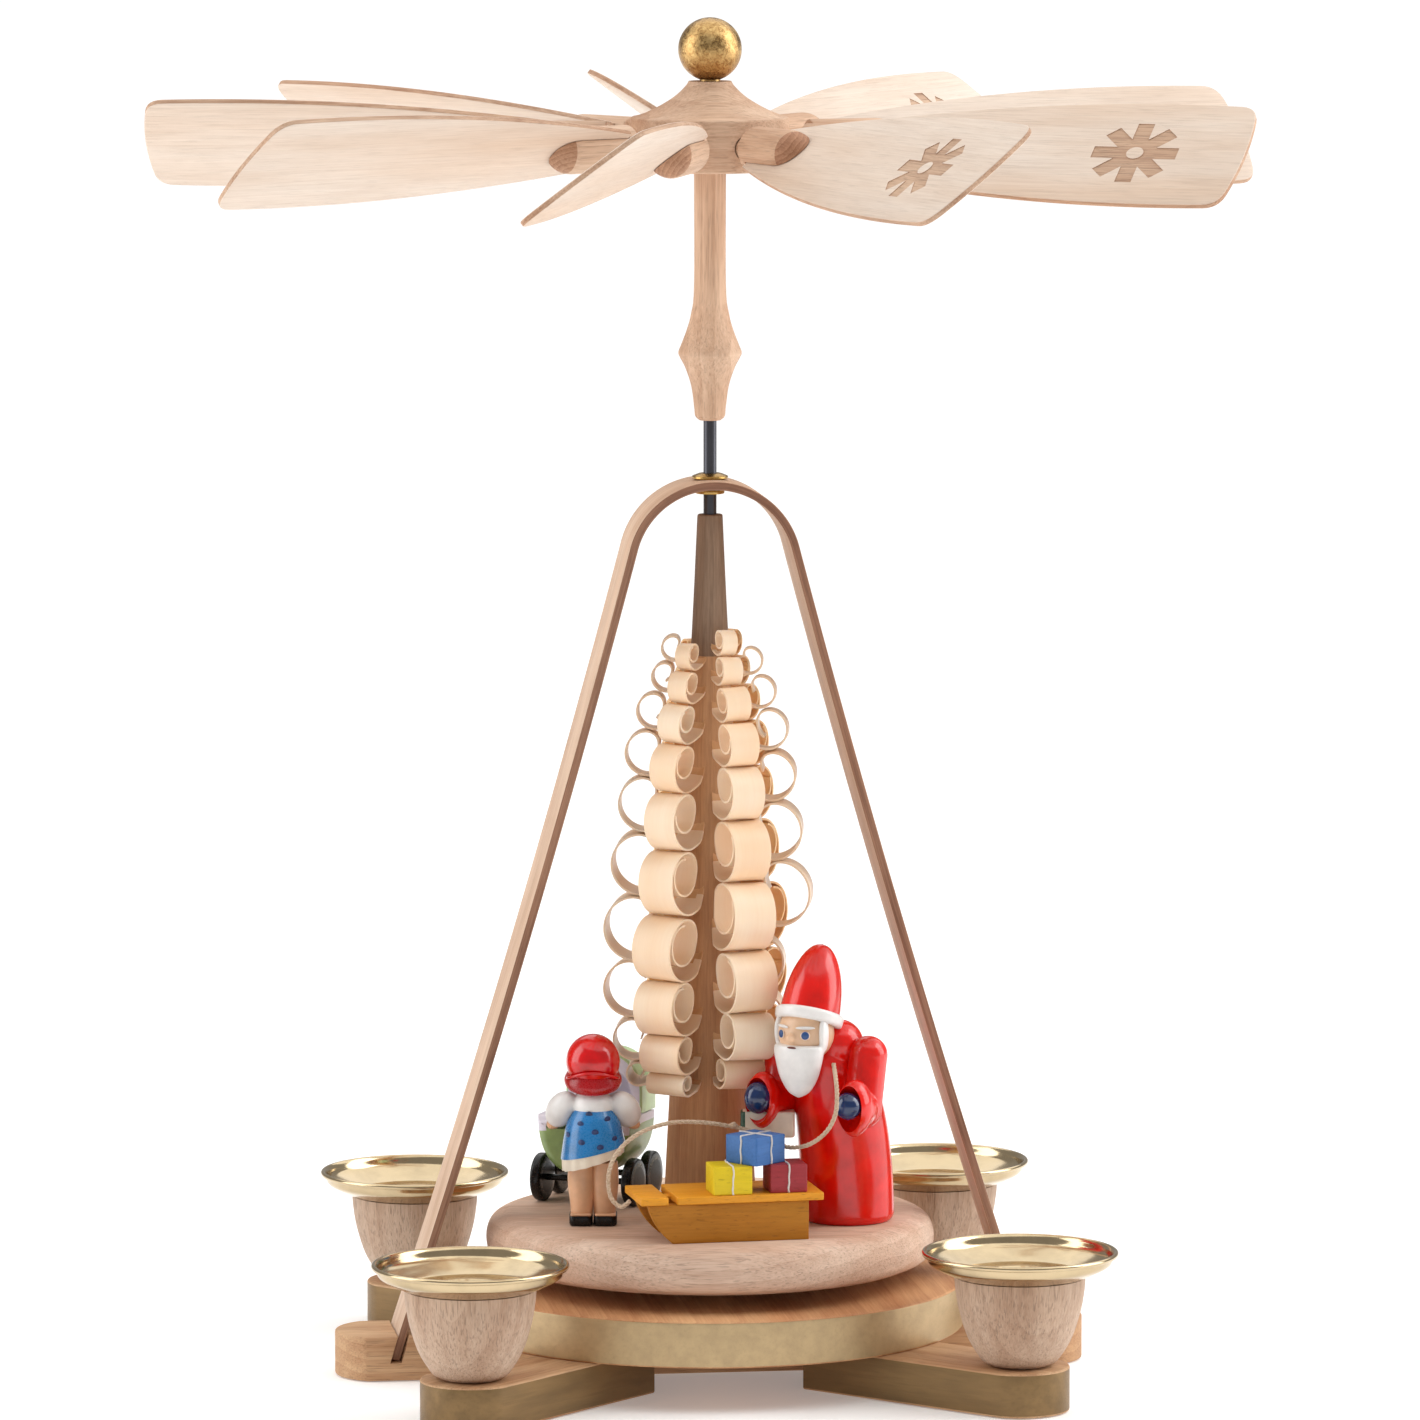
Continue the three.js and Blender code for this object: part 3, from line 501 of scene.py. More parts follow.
def modified(bm, kind, **settings):
    """The mesh with one modifier applied to it."""
    work = worked(bm)
    modifier = work.modifiers.new(kind, kind)
    for key, value in settings.items():
        setattr(modifier, key, value)
    result = bmesh.new()
    result.from_mesh(work.evaluated_get(bpy.context.evaluated_depsgraph_get()).to_mesh())
    bpy.data.meshes.remove(work.data)
    return result


def carved(bm, tool):
    """The mesh with another one cut out of it."""
    other = worked(tool)
    result = modified(bm, "BOOLEAN", object=other, operation="DIFFERENCE", solver="EXACT")
    bpy.data.meshes.remove(other.data)
    return result


def fused(voxel, *solids):
    """Several solids melted into one, as thick paint does."""
    return modified(together(*solids), "REMESH", mode="VOXEL", voxel_size=voxel)


def smoothed(bm, times):
    for _ in range(times):
        bmesh.ops.smooth_vert(bm, verts=bm.verts, factor=0.5, **ALL_AXES)
    return bm


# Which local axes run along the grain and the two ways across it
GRAINS = {"X": (0, 1, 2), "Y": (1, 0, 2), "Z": (2, 1, 0)}
LOOKS = {}


def place(
    name, bm, looks, where=None, node=None, body="rotor", along="X", choose=None, sharp=38
):
    """Makes the piece. looks names what it may wear, and choose gives the number of a face's
    look from its middle and its normal. along is the local axis of its grain."""
    bmesh.ops.recalc_face_normals(bm, faces=bm.faces)
    draw = random.Random(name)
    shift = Vector((draw.uniform(-400, 400), draw.uniform(-30, 30), draw.uniform(24, 60)))
    layer = bm.verts.layers.float_vector.get("grain")
    if layer is None:
        layer = bm.verts.layers.float_vector.new("grain")
        for vert in bm.verts:
            vert[layer] = [vert.co[axis] for axis in GRAINS[along]]
    for vert in bm.verts:
        vert[layer] = vert[layer] + shift
    for face in bm.faces:
        face.smooth = len(face.verts) <= 4
        if choose:
            face.material_index = int(choose(face.calc_center_median(), face.normal))
    mesh = baked(moved(bm, Matrix.Scale(MM, 4) @ (where or Matrix())), name)
    mesh.set_sharp_from_angle(angle=math.radians(sharp))
    names = looks.split()
    for look in names:
        mesh.materials.append(LOOKS[look])
    piece = linked(name, mesh)
    if node:
        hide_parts(node)
    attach(piece, body)
    return piece


def by_side(middle, normal):
    """0 on top and below, 1 on the sides, 2 on the rounded edges."""
    upright = abs(normal.z)
    return 0 if upright > 0.95 else 1 if upright < 0.2 else 2


# Materials
def tone(colour, share=1.0, lift=0.0):
    """A colour as seen on a screen, made darker or paler, for a shader's socket."""
    levels = [min(1, level * share + lift) for level in colour]
    return (*(c / 12.92 if c <= 0.04045 else ((c + 0.055) / 1.055) ** 2.4 for c in levels), 1.0)


class Look:
    """A material being made: a Principled shader and what feeds it."""

    def __init__(self, name, roughness, specular=0.5, metallic=0.0):
        self.material = bpy.data.materials.new(name)
        self.material.use_nodes = True
        self.tree = self.material.node_tree
        self.shader = self.tree.nodes["Principled BSDF"]
        self.give("Roughness", roughness)
        self.give("Metallic", metallic)
        self.give("Specular IOR Level", specular)

    def feed(self, socket, value):
        if isinstance(value, bpy.types.NodeSocket):
            self.tree.links.new(value, socket)
        else:
            socket.default_value = value

    def give(self, socket, value):
        self.feed(self.shader.inputs[socket], value)

    def add(self, kind, inputs, **settings):
        node = self.tree.nodes.new("ShaderNode" + kind)
        for key, value in settings.items():
            setattr(node, key, value)
        for key, value in inputs.items():
            self.feed(node.inputs[key], value)
        return node

    def grain(self, scale, shift=(0, 0, 0)):
        source = self.add("Attribute", {}, attribute_name="grain").outputs["Vector"]
        inputs = {"Vector": source, "Scale": scale, "Location": shift}
        return self.add("Mapping", inputs).outputs["Vector"]

    def noise(self, scale, detail=4.0, rough=0.55, warp=0.0, shift=(0, 0, 0)):
        """scale is how fast it changes along the grain and the two ways across it."""
        inputs = {"Vector": self.grain(scale, shift), "Scale": 1.0}
        inputs.update({"Detail": detail, "Roughness": rough, "Distortion": warp})
        return self.add("TexNoise", inputs).outputs[0]

    def ramp(self, factor, *stops):
        node = self.add("ValToRGB", {"Fac": factor})
        while len(node.color_ramp.elements) < len(stops):
            node.color_ramp.elements.new(0.5)
        for element, (position, colour) in zip(node.color_ramp.elements, stops):
            element.position = position
            element.color = colour if isinstance(colour, tuple) else (colour, colour, colour, 1)
        return node.outputs["Color"]

    def mix(self, factor, first, second, blend="MIX"):
        node = self.add("Mix", {0: factor, 6: first, 7: second}, data_type="RGBA", blend_type=blend)
        return node.outputs[2]

    def range(self, value, low, high, start=0.0, end=1.0):
        inputs = {"Value": value, "From Min": start, "From Max": end, "To Min": low, "To Max": high}
        return self.add("MapRange", inputs).outputs["Result"]

    def math(self, operation, first, second=0.0):
        return self.add("Math", {0: first, 1: second}, operation=operation).outputs[0]

    def made(self, colour, roughness, height, depth):
        """The material, once it has its colour, roughness and bump."""
        self.give("Base Color", colour)
        self.give("Roughness", roughness)
        bump = self.add("Bump", {"Height": height, "Distance": depth * MM, "Strength": 1.0})
        self.give("Normal", bump.outputs["Normal"])
        return self.material


def wood(
    name, light, dark, ring, ring_share, fibre, pores=0.0, rough=0.6, depth=0.05, patches=0.3, glow=0.0
):
    """Bare wood: growth rings, fibres along the grain, and pores where it has them."""
    look = Look(name, rough, 0.3)
    drift = look.noise((0.008, 0.05, 0.05), 3)
    waves = {"Vector": look.grain((0.06, 1, 1)), "Scale": 0.314 / ring, "Distortion": 5.0}
    waves.update({"Detail": 3.0, "Detail Scale": 0.6})
    bands = look.add("TexWave", waves, wave_type="RINGS", rings_direction="X", wave_profile="SAW")
    threads = look.noise((0.05, 2.2, 2.2), 6, 0.65)
    hairs = look.noise((0.12, 7, 7), 3, 0.6)
    growth = look.range(bands.outputs["Fac"], 0.0, ring_share)
    lines = look.range(threads, -fibre, fibre, 0.25, 0.75)
    fine = look.range(hairs, -0.5 * fibre, 0.5 * fibre, 0.25, 0.75)
    cloud = look.range(look.noise((0.03, 0.12, 0.12)), -patches, patches, 0.3, 0.7)
    total = look.math("ADD", look.math("ADD", growth, lines), look.math("ADD", fine, cloud))
    colour = look.ramp(look.math("ADD", total, 0.28), (0.0, tone(light)), (1.0, tone(dark)))
    warm = tone([level * share for level, share in zip(light, (1.03, 0.97, 0.9))])
    warmed = look.mix(1.0, colour, warm, "MULTIPLY")
    colour = look.mix(look.range(drift, 0.0, 0.5, 0.35, 0.7), colour, warmed)
    height = look.math("ADD", lines, fine)
    if pores:
        slots = look.noise((0.16, 3.4, 3.4), 2, 0.5, shift=(7, 3, 1))
        holes = look.ramp(slots, (0.56, 0.0), (0.66, 1.0))
        colour = look.mix(look.math("MULTIPLY", holes, pores), colour, tone(dark, 0.55))
        height = look.math("SUBTRACT", height, holes)
    if glow:
        look.give("Subsurface Weight", glow)
        look.give("Subsurface Radius", (1.0, 0.7, 0.4))
        look.give("Subsurface Scale", 0.0008)
    return look.made(colour, look.range(threads, rough - 0.08, rough + 0.12), height, depth)


def gloss(name, colour, rough, wear, shade, coat, shine=0.5):
    """Brushed-on gloss paint: uneven depth of colour, brush marks and a clear skin."""
    look = Look(name, rough, shine)
    pools = look.noise((0.16, 0.16, 0.16))
    strokes = look.noise((0.2, 1.6, 0.8), 4, 0.6, 0.6)
    dust = look.noise((3, 3, 3), 3)
    mixed = look.mix(look.range(pools, 0.0, 1.0, 0.35, 0.7), tone(colour), tone(colour, shade))
    mixed = look.mix(look.range(strokes, 0.0, wear, 0.5, 0.75), mixed, tone(colour, 0.9, 0.1))
    look.give("Coat Weight", coat)
    look.give("Coat Roughness", 0.07)
    height = look.math("ADD", strokes, look.math("MULTIPLY", dust, 0.2))
    return look.made(mixed, look.range(dust, rough, rough + 0.14, 0.4, 0.8), height, 0.02)


def stain(name, colour, grain_share):
    """Matt coloured stain that lets the wood's fibres and pores show."""
    look = Look(name, 0.5, 0.35)
    threads = look.noise((0.1, 1.8, 1.8), 5, 0.65)
    pits = look.noise((0.5, 3.2, 3.2), 2)
    patches = look.noise((0.07, 0.2, 0.2), 3)
    deep = tone(colour, 0.62)
    mixed = look.mix(look.range(threads, 0.0, grain_share, 0.35, 0.7), tone(colour), deep)
    mixed = look.mix(look.range(patches, 0.0, 0.35, 0.4, 0.7), mixed, tone(colour, 0.92, 0.1))
    speck = look.ramp(pits, (0.62, 0.0), (0.7, 1.0))
    mixed = look.mix(look.math("MULTIPLY", speck, 0.35), mixed, deep)
    return look.made(mixed, look.range(threads, 0.42, 0.65), look.math("SUBTRACT", threads, speck), 0.04)


def gold_paint(name, colour, mottle):
    """Bronze paint on the sides of the base boards, with the grain showing through."""
    look = Look(name, 0.38, metallic=0.55)
    threads = look.noise((0.06, 1.2, 1.2), 5, 0.65)
    flakes = look.noise((5, 5, 5), 2)
    deep = tone(colour, 0.72)
    clouds = look.range(look.noise((0.05, 0.3, 0.3), 3), 0.0, mottle, 0.35, 0.7)
    mixed = look.mix(clouds, tone(colour), deep)
    mixed = look.mix(look.range(threads, 0.0, 0.7 * mottle, 0.5, 0.75), mixed, deep)
    height = look.math("ADD", threads, look.math("MULTIPLY", flakes, 0.3))
    return look.made(mixed, look.range(flakes, 0.3, 0.52, 0.3, 0.7), height, 0.03)


def metal(name, colour, rough):
    look = Look(name, rough, metallic=1.0)
    lines = look.noise((0.4, 0.4, 6))
    haze = look.noise((0.12, 0.12, 0.12))
    mixed = look.mix(look.range(haze, 0.0, 0.6, 0.4, 0.75), tone(colour), tone(colour, 0.82))
    marks = look.range(look.math("ADD", lines, haze), rough, rough + 0.08, 0.7, 1.3)
    return look.made(mixed, marks, lines, 0.004)


def leaf(name, *tones):
    """Gold leaf: thin sheets with mottled, slightly crumpled patches."""
    look = Look(name, 0.3, metallic=1.0)
    patches = look.noise((0.9, 0.9, 0.9), 5, 0.7, 0.8)
    crumple = look.noise((1.6, 1.6, 1.6), 4, 0.7)
    mixed = look.ramp(patches, *zip((0.36, 0.52, 0.66), map(tone, tones)))
    polish = look.range(patches, 0.22, 0.42, 0.4, 0.65)
    return look.made(mixed, polish, look.math("ADD", crumple, patches), 0.07)


def fibre(name, dark, light, soiled):
    """Off-white spun fibre."""
    look = Look(name, 0.85, 0.2)
    strands = look.noise((0.8, 5, 5), 4, 0.7)
    soil = look.noise((0.1, 0.1, 0.1), 3)
    pale = look.ramp(strands, (0.3, tone(dark)), (0.7, tone(light)))
    look.give("Sheen Weight", 0.3)
    mixed = look.mix(look.range(soil, 0.0, 0.4, 0.4, 0.7), pale, tone(soiled))
    return look.made(mixed, 0.85, strands, 0.08)


def add_looks(make, slot, **values):
    """Looks that are made one way. slot, one of the record's material slots, is not used."""
    for name, parts in values.items():
        LOOKS[name] = make(name, *parts)


add_looks(
    wood, "bare_wood",
    wood_base=((0.85, 0.72, 0.57), (0.66, 0.48, 0.34), 3.2, 0.28, 0.26, 0.25),
    wood_cup=((0.82, 0.73, 0.65), (0.64, 0.52, 0.43), 3.6, 0.2, 0.3, 0.35, 0.6, 0.06),
    wood_turned=((0.88, 0.77, 0.67), (0.68, 0.53, 0.42), 3.0, 0.22, 0.28, 0.2),
    wood_stem_end=((0.78, 0.62, 0.5), (0.56, 0.4, 0.3), 1.0, 0.45, 0.3),
)
add_looks(wood, "peach_wood", wood_plate=((0.84, 0.66, 0.48), (0.66, 0.45, 0.3), 3.4, 0.28, 0.26))
add_looks(
    wood, "bent_wood",
    wood_arch=((0.86, 0.76, 0.67), (0.7, 0.57, 0.47), 4.0, 0.12, 0.35),
    wood_arch_edge=((0.68, 0.52, 0.42), (0.46, 0.32, 0.25), 1.2, 0.3, 0.4),
)
add_looks(
    wood, "curl_wood",
    wood_trunk=((0.84, 0.67, 0.5), (0.68, 0.5, 0.36), 2.0, 0.22, 0.3),
    # the trunk above the curls: a darker, greyer copy of the trunk wood, as painted shade
    wood_trunk_top=((0.62, 0.51, 0.42), (0.44, 0.35, 0.28), 2.0, 0.22, 0.3),
    wood_curl=((0.97, 0.9, 0.81), (0.92, 0.8, 0.67), 9.0, 0.05, 0.1, 0.0, 0.33, 0.012, 0.14, 0.12),
    # darker tan for the curls close to the trunk: painted shade, matching the trunk's colour
    wood_curl_root=((0.9, 0.75, 0.58), (0.78, 0.6, 0.43), 9.0, 0.1, 0.2, 0.0, 0.5, 0.012),
    # a more orange copy of the curl wood for the far columns: painted glow of light shining through them,
    # on top of their subsurface
    wood_curl_back=((0.97, 0.86, 0.7), (0.9, 0.74, 0.54), 9.0, 0.05, 0.1, 0.0, 0.42, 0.012, 0.14, 0.25),
)
add_looks(
    wood, "linden_wood",
    wood_table=((0.89, 0.79, 0.71), (0.72, 0.58, 0.49), 3.0, 0.22, 0.28, 0.3),
    wood_blade=((0.91, 0.86, 0.81), (0.8, 0.72, 0.65), 2.2, 0.12, 0.24, 0.1, 0.62, 0.03, 0.15),
    wood_blade_edge=((0.84, 0.72, 0.62), (0.62, 0.48, 0.38), 0.8, 0.3, 0.4),
    wood_star=((0.84, 0.73, 0.63), (0.68, 0.55, 0.46), 1.5, 0.3, 0.45, 0.3, 0.75, 0.06),
)
add_looks(
    gold_paint, "gold_wood",
    gold_arm=((0.54, 0.43, 0.28), 0.5),
    gold_plate=((0.76, 0.66, 0.5), 0.3),
)
add_looks(metal, "brass", brass=((0.8, 0.72, 0.58), 0.12), dark_brass=((0.7, 0.56, 0.32), 0.22))
add_looks(metal, "steel", steel=((0.3, 0.3, 0.32), 0.28))
add_looks(leaf, "leaf_gold", leaf_gold=((0.6, 0.46, 0.28), (0.74, 0.6, 0.39), (0.86, 0.73, 0.5)))
add_looks(fibre, "twine", twine=((0.62, 0.5, 0.39), (0.9, 0.82, 0.72), (0.66, 0.52, 0.4)))
add_looks(gloss, "twine", string_white=((0.88, 0.86, 0.84), 0.6, 0.1, 0.85, 0.0))
add_looks(
    gloss, "red_gloss",
    red_gloss=((0.9, 0.05, 0.0), 0.16, 0.05, 0.85, 0.25),
    scarf_red=((0.88, 0.0, 0.03), 0.12, 0.05, 0.8, 0.3),
    scarf_dark=((0.7, 0.0, 0.05), 0.25, 0.05, 0.85, 0.15),
)
add_looks(
    gloss, "pale_gloss",
    white_gloss=((0.93, 0.92, 0.91), 0.3, 0.06, 0.9, 0.2),
    cream_gloss=((0.93, 0.88, 0.8), 0.4, 0.1, 0.88, 0.1),
    skin_pale=((0.94, 0.84, 0.76), 0.35, 0.1, 0.9, 0.15),
    pale_green=((0.76, 0.88, 0.66), 0.35, 0.1, 0.85, 0.2),
    lilac=((0.86, 0.84, 0.89), 0.4, 0.1, 0.88, 0.1),
)
add_looks(
    gloss, "skin_paint",
    skin=((0.89, 0.69, 0.53), 0.35, 0.1, 0.86, 0.15),
    skin_face=((0.92, 0.76, 0.62), 0.35, 0.1, 0.88, 0.2),
)
add_looks(
    gloss, "blue_gloss",
    glove_blue=((0.02, 0.16, 0.36), 0.12, 0.05, 0.7, 0.5),
    eye_blue=((0.12, 0.28, 0.5), 0.3, 0.1, 0.8, 0.2),
    skirt_blue=((0.1, 0.48, 0.74), 0.25, 0.1, 0.8, 0.4),
)
add_looks(
    gloss, "black_gloss",
    navy=((0.08, 0.2, 0.42), 0.35, 0.1, 0.8, 0.2),
    black_gloss=((0.03, 0.03, 0.035), 0.25, 0.04, 0.8, 0.1, 0.3),
    wheel_grey=((0.05, 0.05, 0.055), 0.3, 0.1, 0.8, 0.0, 0.15),
)
add_looks(
    gloss, "green_gloss",
    pram_green=((0.56, 0.66, 0.4), 0.35, 0.12, 0.8, 0.2),
    dark_green=((0.12, 0.3, 0.2), 0.4, 0.1, 0.8, 0.2),
)
add_looks(gloss, "dark_red_paint", mouth_brown=((0.4, 0.16, 0.13), 0.4, 0.1, 0.8, 0.0))
# the runners' ochre is a darker copy of the deck's, painted shade on the sled's sides
add_looks(stain, "ochre_paint", ochre=((0.9, 0.6, 0.12), 0.3), ochre_side=((0.7, 0.44, 0.04), 0.3))
add_looks(stain, "yellow_paint", gift_yellow=((0.88, 0.77, 0.08), 0.2))
add_looks(stain, "dark_red_paint", gift_red=((0.64, 0.2, 0.23), 0.3))
add_looks(stain, "blue_paint", gift_blue=((0.24, 0.43, 0.68), 0.3))


# Camera
def aimed(name, data, spot, target, unit=1.0):
    """A camera or lamp at a spot, turned to its target."""
    made = linked(name, data)
    made.location = Vector(spot) * unit
    made.rotation_euler = (Vector(target) - Vector(spot)).to_track_quat("-Z", "Y").to_euler()
    return made


camera = bpy.data.cameras.new("camera")
camera.lens = camera_lens
camera.sensor_width = camera_sensor
bpy.context.scene.camera = aimed("camera", camera, camera_place, camera_target, MM)

on_table = turn(display_turn)
on_top = on_table @ move(0, 0, table_top)


# Cord: three strands twisted round the route
def add_cord():
    route = [on_table @ Vector(point) for point in through(cord_route, 12)]
    turns = frames_along(route)
    lay = cord_lay * cord_diameter
    strands = []
    for number in range(3):
        path = []
        for dot, run, (_, side, up) in zip(route, runs(route), turns):
            angle = math.tau * (run / lay + number / 3)
            out = side * math.cos(angle) + up * math.sin(angle)
            path.append(dot + strand_offset * cord_diameter * out)
        strands.append(tube(path, strand_radius * cord_diameter))
    place("cord", together(*strands), "twine", node="sled_cord", sharp=60)
    spot = on_table @ Vector(cord_knot)
    knot = blob(spot, (0.85, 0.7, 0.7), fine=3)
    place("cord_knot", pulled(knot, lambda co: co + (co - spot) * 0.3 * noise.noise(co * 1.7)), "twine")


# Base
def end_arc(tip, half, bulge, side):
    """The bowed end of a board, on the side that side says."""
    radius = (half * half + bulge * bulge) / (2 * bulge)
    sweep = math.asin(half / radius)
    facing = 0 if side > 0 else math.pi
    centre = tip - side * radius
    return [polar(radius, angle, centre) for angle in spread(facing - sweep, facing + sweep, 24)]


def add_arm(corner, angle):
    half = arm_width / 2
    arc = end_arc(cup_radius_from_axle + half, half, arm_end_bulge, 1)
    arm = board([(arm_inner, -half), *arc, (arm_inner, half)], 0, board_thickness, board_edge)
    looks, where = "wood_base gold_arm wood_base", turn(angle)
    place(f"board_{corner}", arm, looks, where, f"arm_{corner}", "base", choose=by_side)


def slot_tool(side):
    half = arch_thickness / 2 + fit
    low, high = board_thickness - slot_depth, board_thickness + 1
    wide = bar_width / 2 + 1
    corners = [(arch_x(off, z), z) for off, z in ((half, low), (half, high), (-half, high), (-half, low))]
    return loft([[(side * x, y, z) for x, z in corners] for y in (-wide, wide)])


def add_crossbar():
    outline = []
    for side in (1, -1):
        outline += end_arc(side * bar_length / 2, bar_width / 2, bar_end_bulge, side)
    bar = board(outline, 0, board_thickness, board_edge)
    for side in (-1, 1):
        bar = carved(bar, slot_tool(side))
    place("foot_bar", bar, "wood_base", None, "crossbar", "base")


def add_plate():
    """The round plate and the bearing in it."""
    low, top, seat, wide = board_thickness, plate_top, plate_top - bearing_depth, bearing_radius + fit
    profile = [(0, low), (plate_radius, low), (plate_radius, top), (wide, top), (wide, seat), (0, seat)]
    plate = lathe(rounded(profile, 0.6, 4), 160)
    looks = "wood_plate gold_plate wood_plate"
    place("round_plate", plate, looks, None, "base_plate", "base", along="Y", choose=by_side)
    mouth = bearing_seat * axle_radius / axle_tip + fit
    wide, point = bearing_radius, top - bearing_seat
    profile = [(0, seat), (wide, seat), (wide, top), (mouth, top), (0, point)]
    place("bearing", lathe(rounded(profile, 0.25), 48), "dark_brass", None, "bearing_cup", "base")


# Candle cups and drip dishes
def add_candle_place(corner, angle):
    foot, swell = board_thickness, cup_top_radius - cup_foot_radius
    top, bore = foot + cup_height, socket_radius + brass_sheet
    where = turn(angle) @ move(cup_radius_from_axle, 0)
    side = [(0, 0), (0.2, 0.035), (0.36, 0.1), (0.66, 0.32), (0.88, 0.62), (0.975, 0.86), (1, 1)]
    outside = through([(cup_foot_radius + a * swell, foot + b * cup_height) for a, b in side], 5)
    low = top - socket_depth - brass_sheet
    inside = [(bore + fit, top), (bore + fit, low - fit), (0, low - fit)]
    cup = lathe([(0, foot), *outside, (cup_top_radius - 0.4, top), *inside], 96)
    place(f"cup_{corner}", cup, "wood_cup", where, f"candle_cup_{corner}", "base", along="Z")
    wide, rise = dish_radius, dish_rise
    under = through(
        [(cup_top_radius - 1, top), (cup_top_radius + 0.4, top + 0.05 * rise),
         (0.8 * wide, top + 0.24 * rise), (0.92 * wide, top + 0.5 * rise),
         (wide - 0.9, top + 0.84 * rise)],
        6,
    )
    rim = [polar(dish_rim, a, wide - dish_rim, top + rise - dish_rim) for a in spread(-1.9, 2.6, 14)]
    over = [dot + Vector((-0.35, brass_sheet * 0.7)) for dot in reversed(under)]
    floor = top + brass_sheet
    dish = [(0, low), (bore, low), (bore, top), *under, *rim, *over[1:], (socket_radius + 0.5, floor)]
    dish += [(socket_radius, floor - 0.5), (socket_radius, top - socket_depth), (0, top - socket_depth)]
    place(f"dish_{corner}", lathe(dish, 128), "brass", where, f"drip_dish_{corner}", "base", along="Z")


# Arch
arch_middle = arch_radius - arch_thickness / 2
arch_centre = arch_top - arch_radius
arch_reach = math.hypot(arch_foot, arch_centre - board_thickness)
arch_slope = math.atan2(arch_foot, arch_centre - board_thickness) - math.asin(arch_middle / arch_reach)
bush_outer = axle_radius + running + bush_wall


def arch_x(offset, height):
    """The unbowed leg's distance from the axle, so far outside its middle line."""
    return (arch_middle + offset) / math.cos(arch_slope) + (arch_centre - height) * math.tan(arch_slope)


def arch_line():
    foot, low = board_thickness - slot_depth + fit, board_thickness + 1
    high = arch_centre + arch_middle * math.sin(arch_slope)
    middle = (low + high) / 2
    leg = [Vector((arch_x(0, foot), foot))]
    bow = (arch_x(0, middle) - 2 * arch_bow, middle)
    leg += bend((arch_x(0, low), low), bow, (arch_x(0, high), high), 40)
    crown = [polar(arch_middle, a, 0, arch_centre) for a in spread(arch_slope, math.pi - arch_slope, 48)]
    return leg + crown[1:-1] + [Vector((-dot.x, dot.y)) for dot in reversed(leg)]


def add_arch():
    """The bent strip and the bush at its top."""
    a, b = arch_width / 2, arch_thickness / 2
    strip = band(arch_line(), rounded([(-a, -b), (a, -b), (a, b), (-a, b)], 0.25, 2, True))
    strip = carved(strip, drill(bush_outer + 0.2, arch_top - 6, arch_top + 2))
    place(
        "bent_arch", strip, "wood_arch wood_arch_edge", None, "arch", "base",
        choose=lambda middle, normal: abs(normal.y) > 0.6,
    )
    bore, outer, wide = axle_radius + running, bush_outer, bush_outer + bush_wall
    top, lip = arch_top, arch_top - arch_thickness - 2 * fit
    flange, rise = bush_flange_radius, bush_flange
    profile = [
        (bore, lip - bush_wall), (wide, lip - bush_wall), (wide, lip), (outer, lip), (outer, top),
        (flange, top), (flange, top + 0.5 * rise), (outer, top + rise), (bore, top + rise),
    ]
    ring = lathe(rounded(profile, 0.2, 3, True), 64, True)
    place("bush", ring, "dark_brass", None, "arch_bush", "base")


# Axle, turntable and curl tree
def add_axle():
    rest = plate_top - bearing_seat + running
    profile = [(0, rest), (axle_radius, rest + axle_tip), (axle_radius, axle_top), (0, axle_top)]
    place("axle", lathe(rounded(profile, 0.3), 48), "steel", on_table, "axle_rod", along="Z")


def add_table():
    wide, low, rise, bore = table_radius, table_bottom, table_thickness, axle_radius + fit
    edge = through(
        [(wide - 3.4, low), (wide - 1, low + 0.12 * rise), (wide, low + 0.34 * rise),
         (wide, low + 0.64 * rise), (wide - 1.3, low + 0.88 * rise), (table_flat, table_top)],
        6,
    )
    table = lathe([(bore, low), *edge, (bore, table_top)], 160, True)
    place("table", table, "wood_table", on_table, "turntable")


def trunk_radius(height):
    return trunk_foot_radius + (trunk_top_radius - trunk_foot_radius) * height / trunk_height


def shaved(angle, radius, height):
    """The knife leaves flats between the columns of curls."""
    step = math.tau / (2 * curl_columns)
    off = (angle - math.radians(first_column) + step / 2) % step - step / 2
    flat = math.cos(step / 2) / math.cos(off)
    rough = 0.12 * noise.noise(Vector((3 * math.cos(angle), 3 * math.sin(angle), height * 0.05)))
    return radius * (0.35 + 0.65 * flat) + rough


def curl_path(foot, size, reach, turns, inner):
    """One shaving: down off the trunk, out and round the roll, then on into a smaller
    ring that lies against the roll's outer wall."""
    outer = size / 2 - curl_thickness / 2
    centre = Vector((reach - size / 2, foot + size / 2))
    start = math.radians(-104)
    spiral = []
    for share in spread(0, 1, 60):
        angle = start + math.tau * turns * share
        closing = min(1.0, max(0.0, math.degrees(angle) - 50) / 150)
        closing = closing * closing * (3 - 2 * closing)
        over = max(0.0, math.degrees(angle) - 200) / 360
        now = outer * (1 - (1 - inner) * closing) * (1 - 0.16 * over)
        middle = centre + 0.94 * outer * (1 - inner) * closing * Vector((0.74, 0.67))
        spiral.append(middle + now * Vector((math.cos(angle), math.sin(angle))))
    height = foot + 0.94 * size
    root = Vector((0.68 * trunk_radius(height), height))
    heading = Vector((-math.sin(start), math.cos(start)))
    knee = spiral[0] - heading * (spiral[0].x - root.x) / heading.x
    return bend(root, knee, spiral[0], 12)[:-1] + spiral


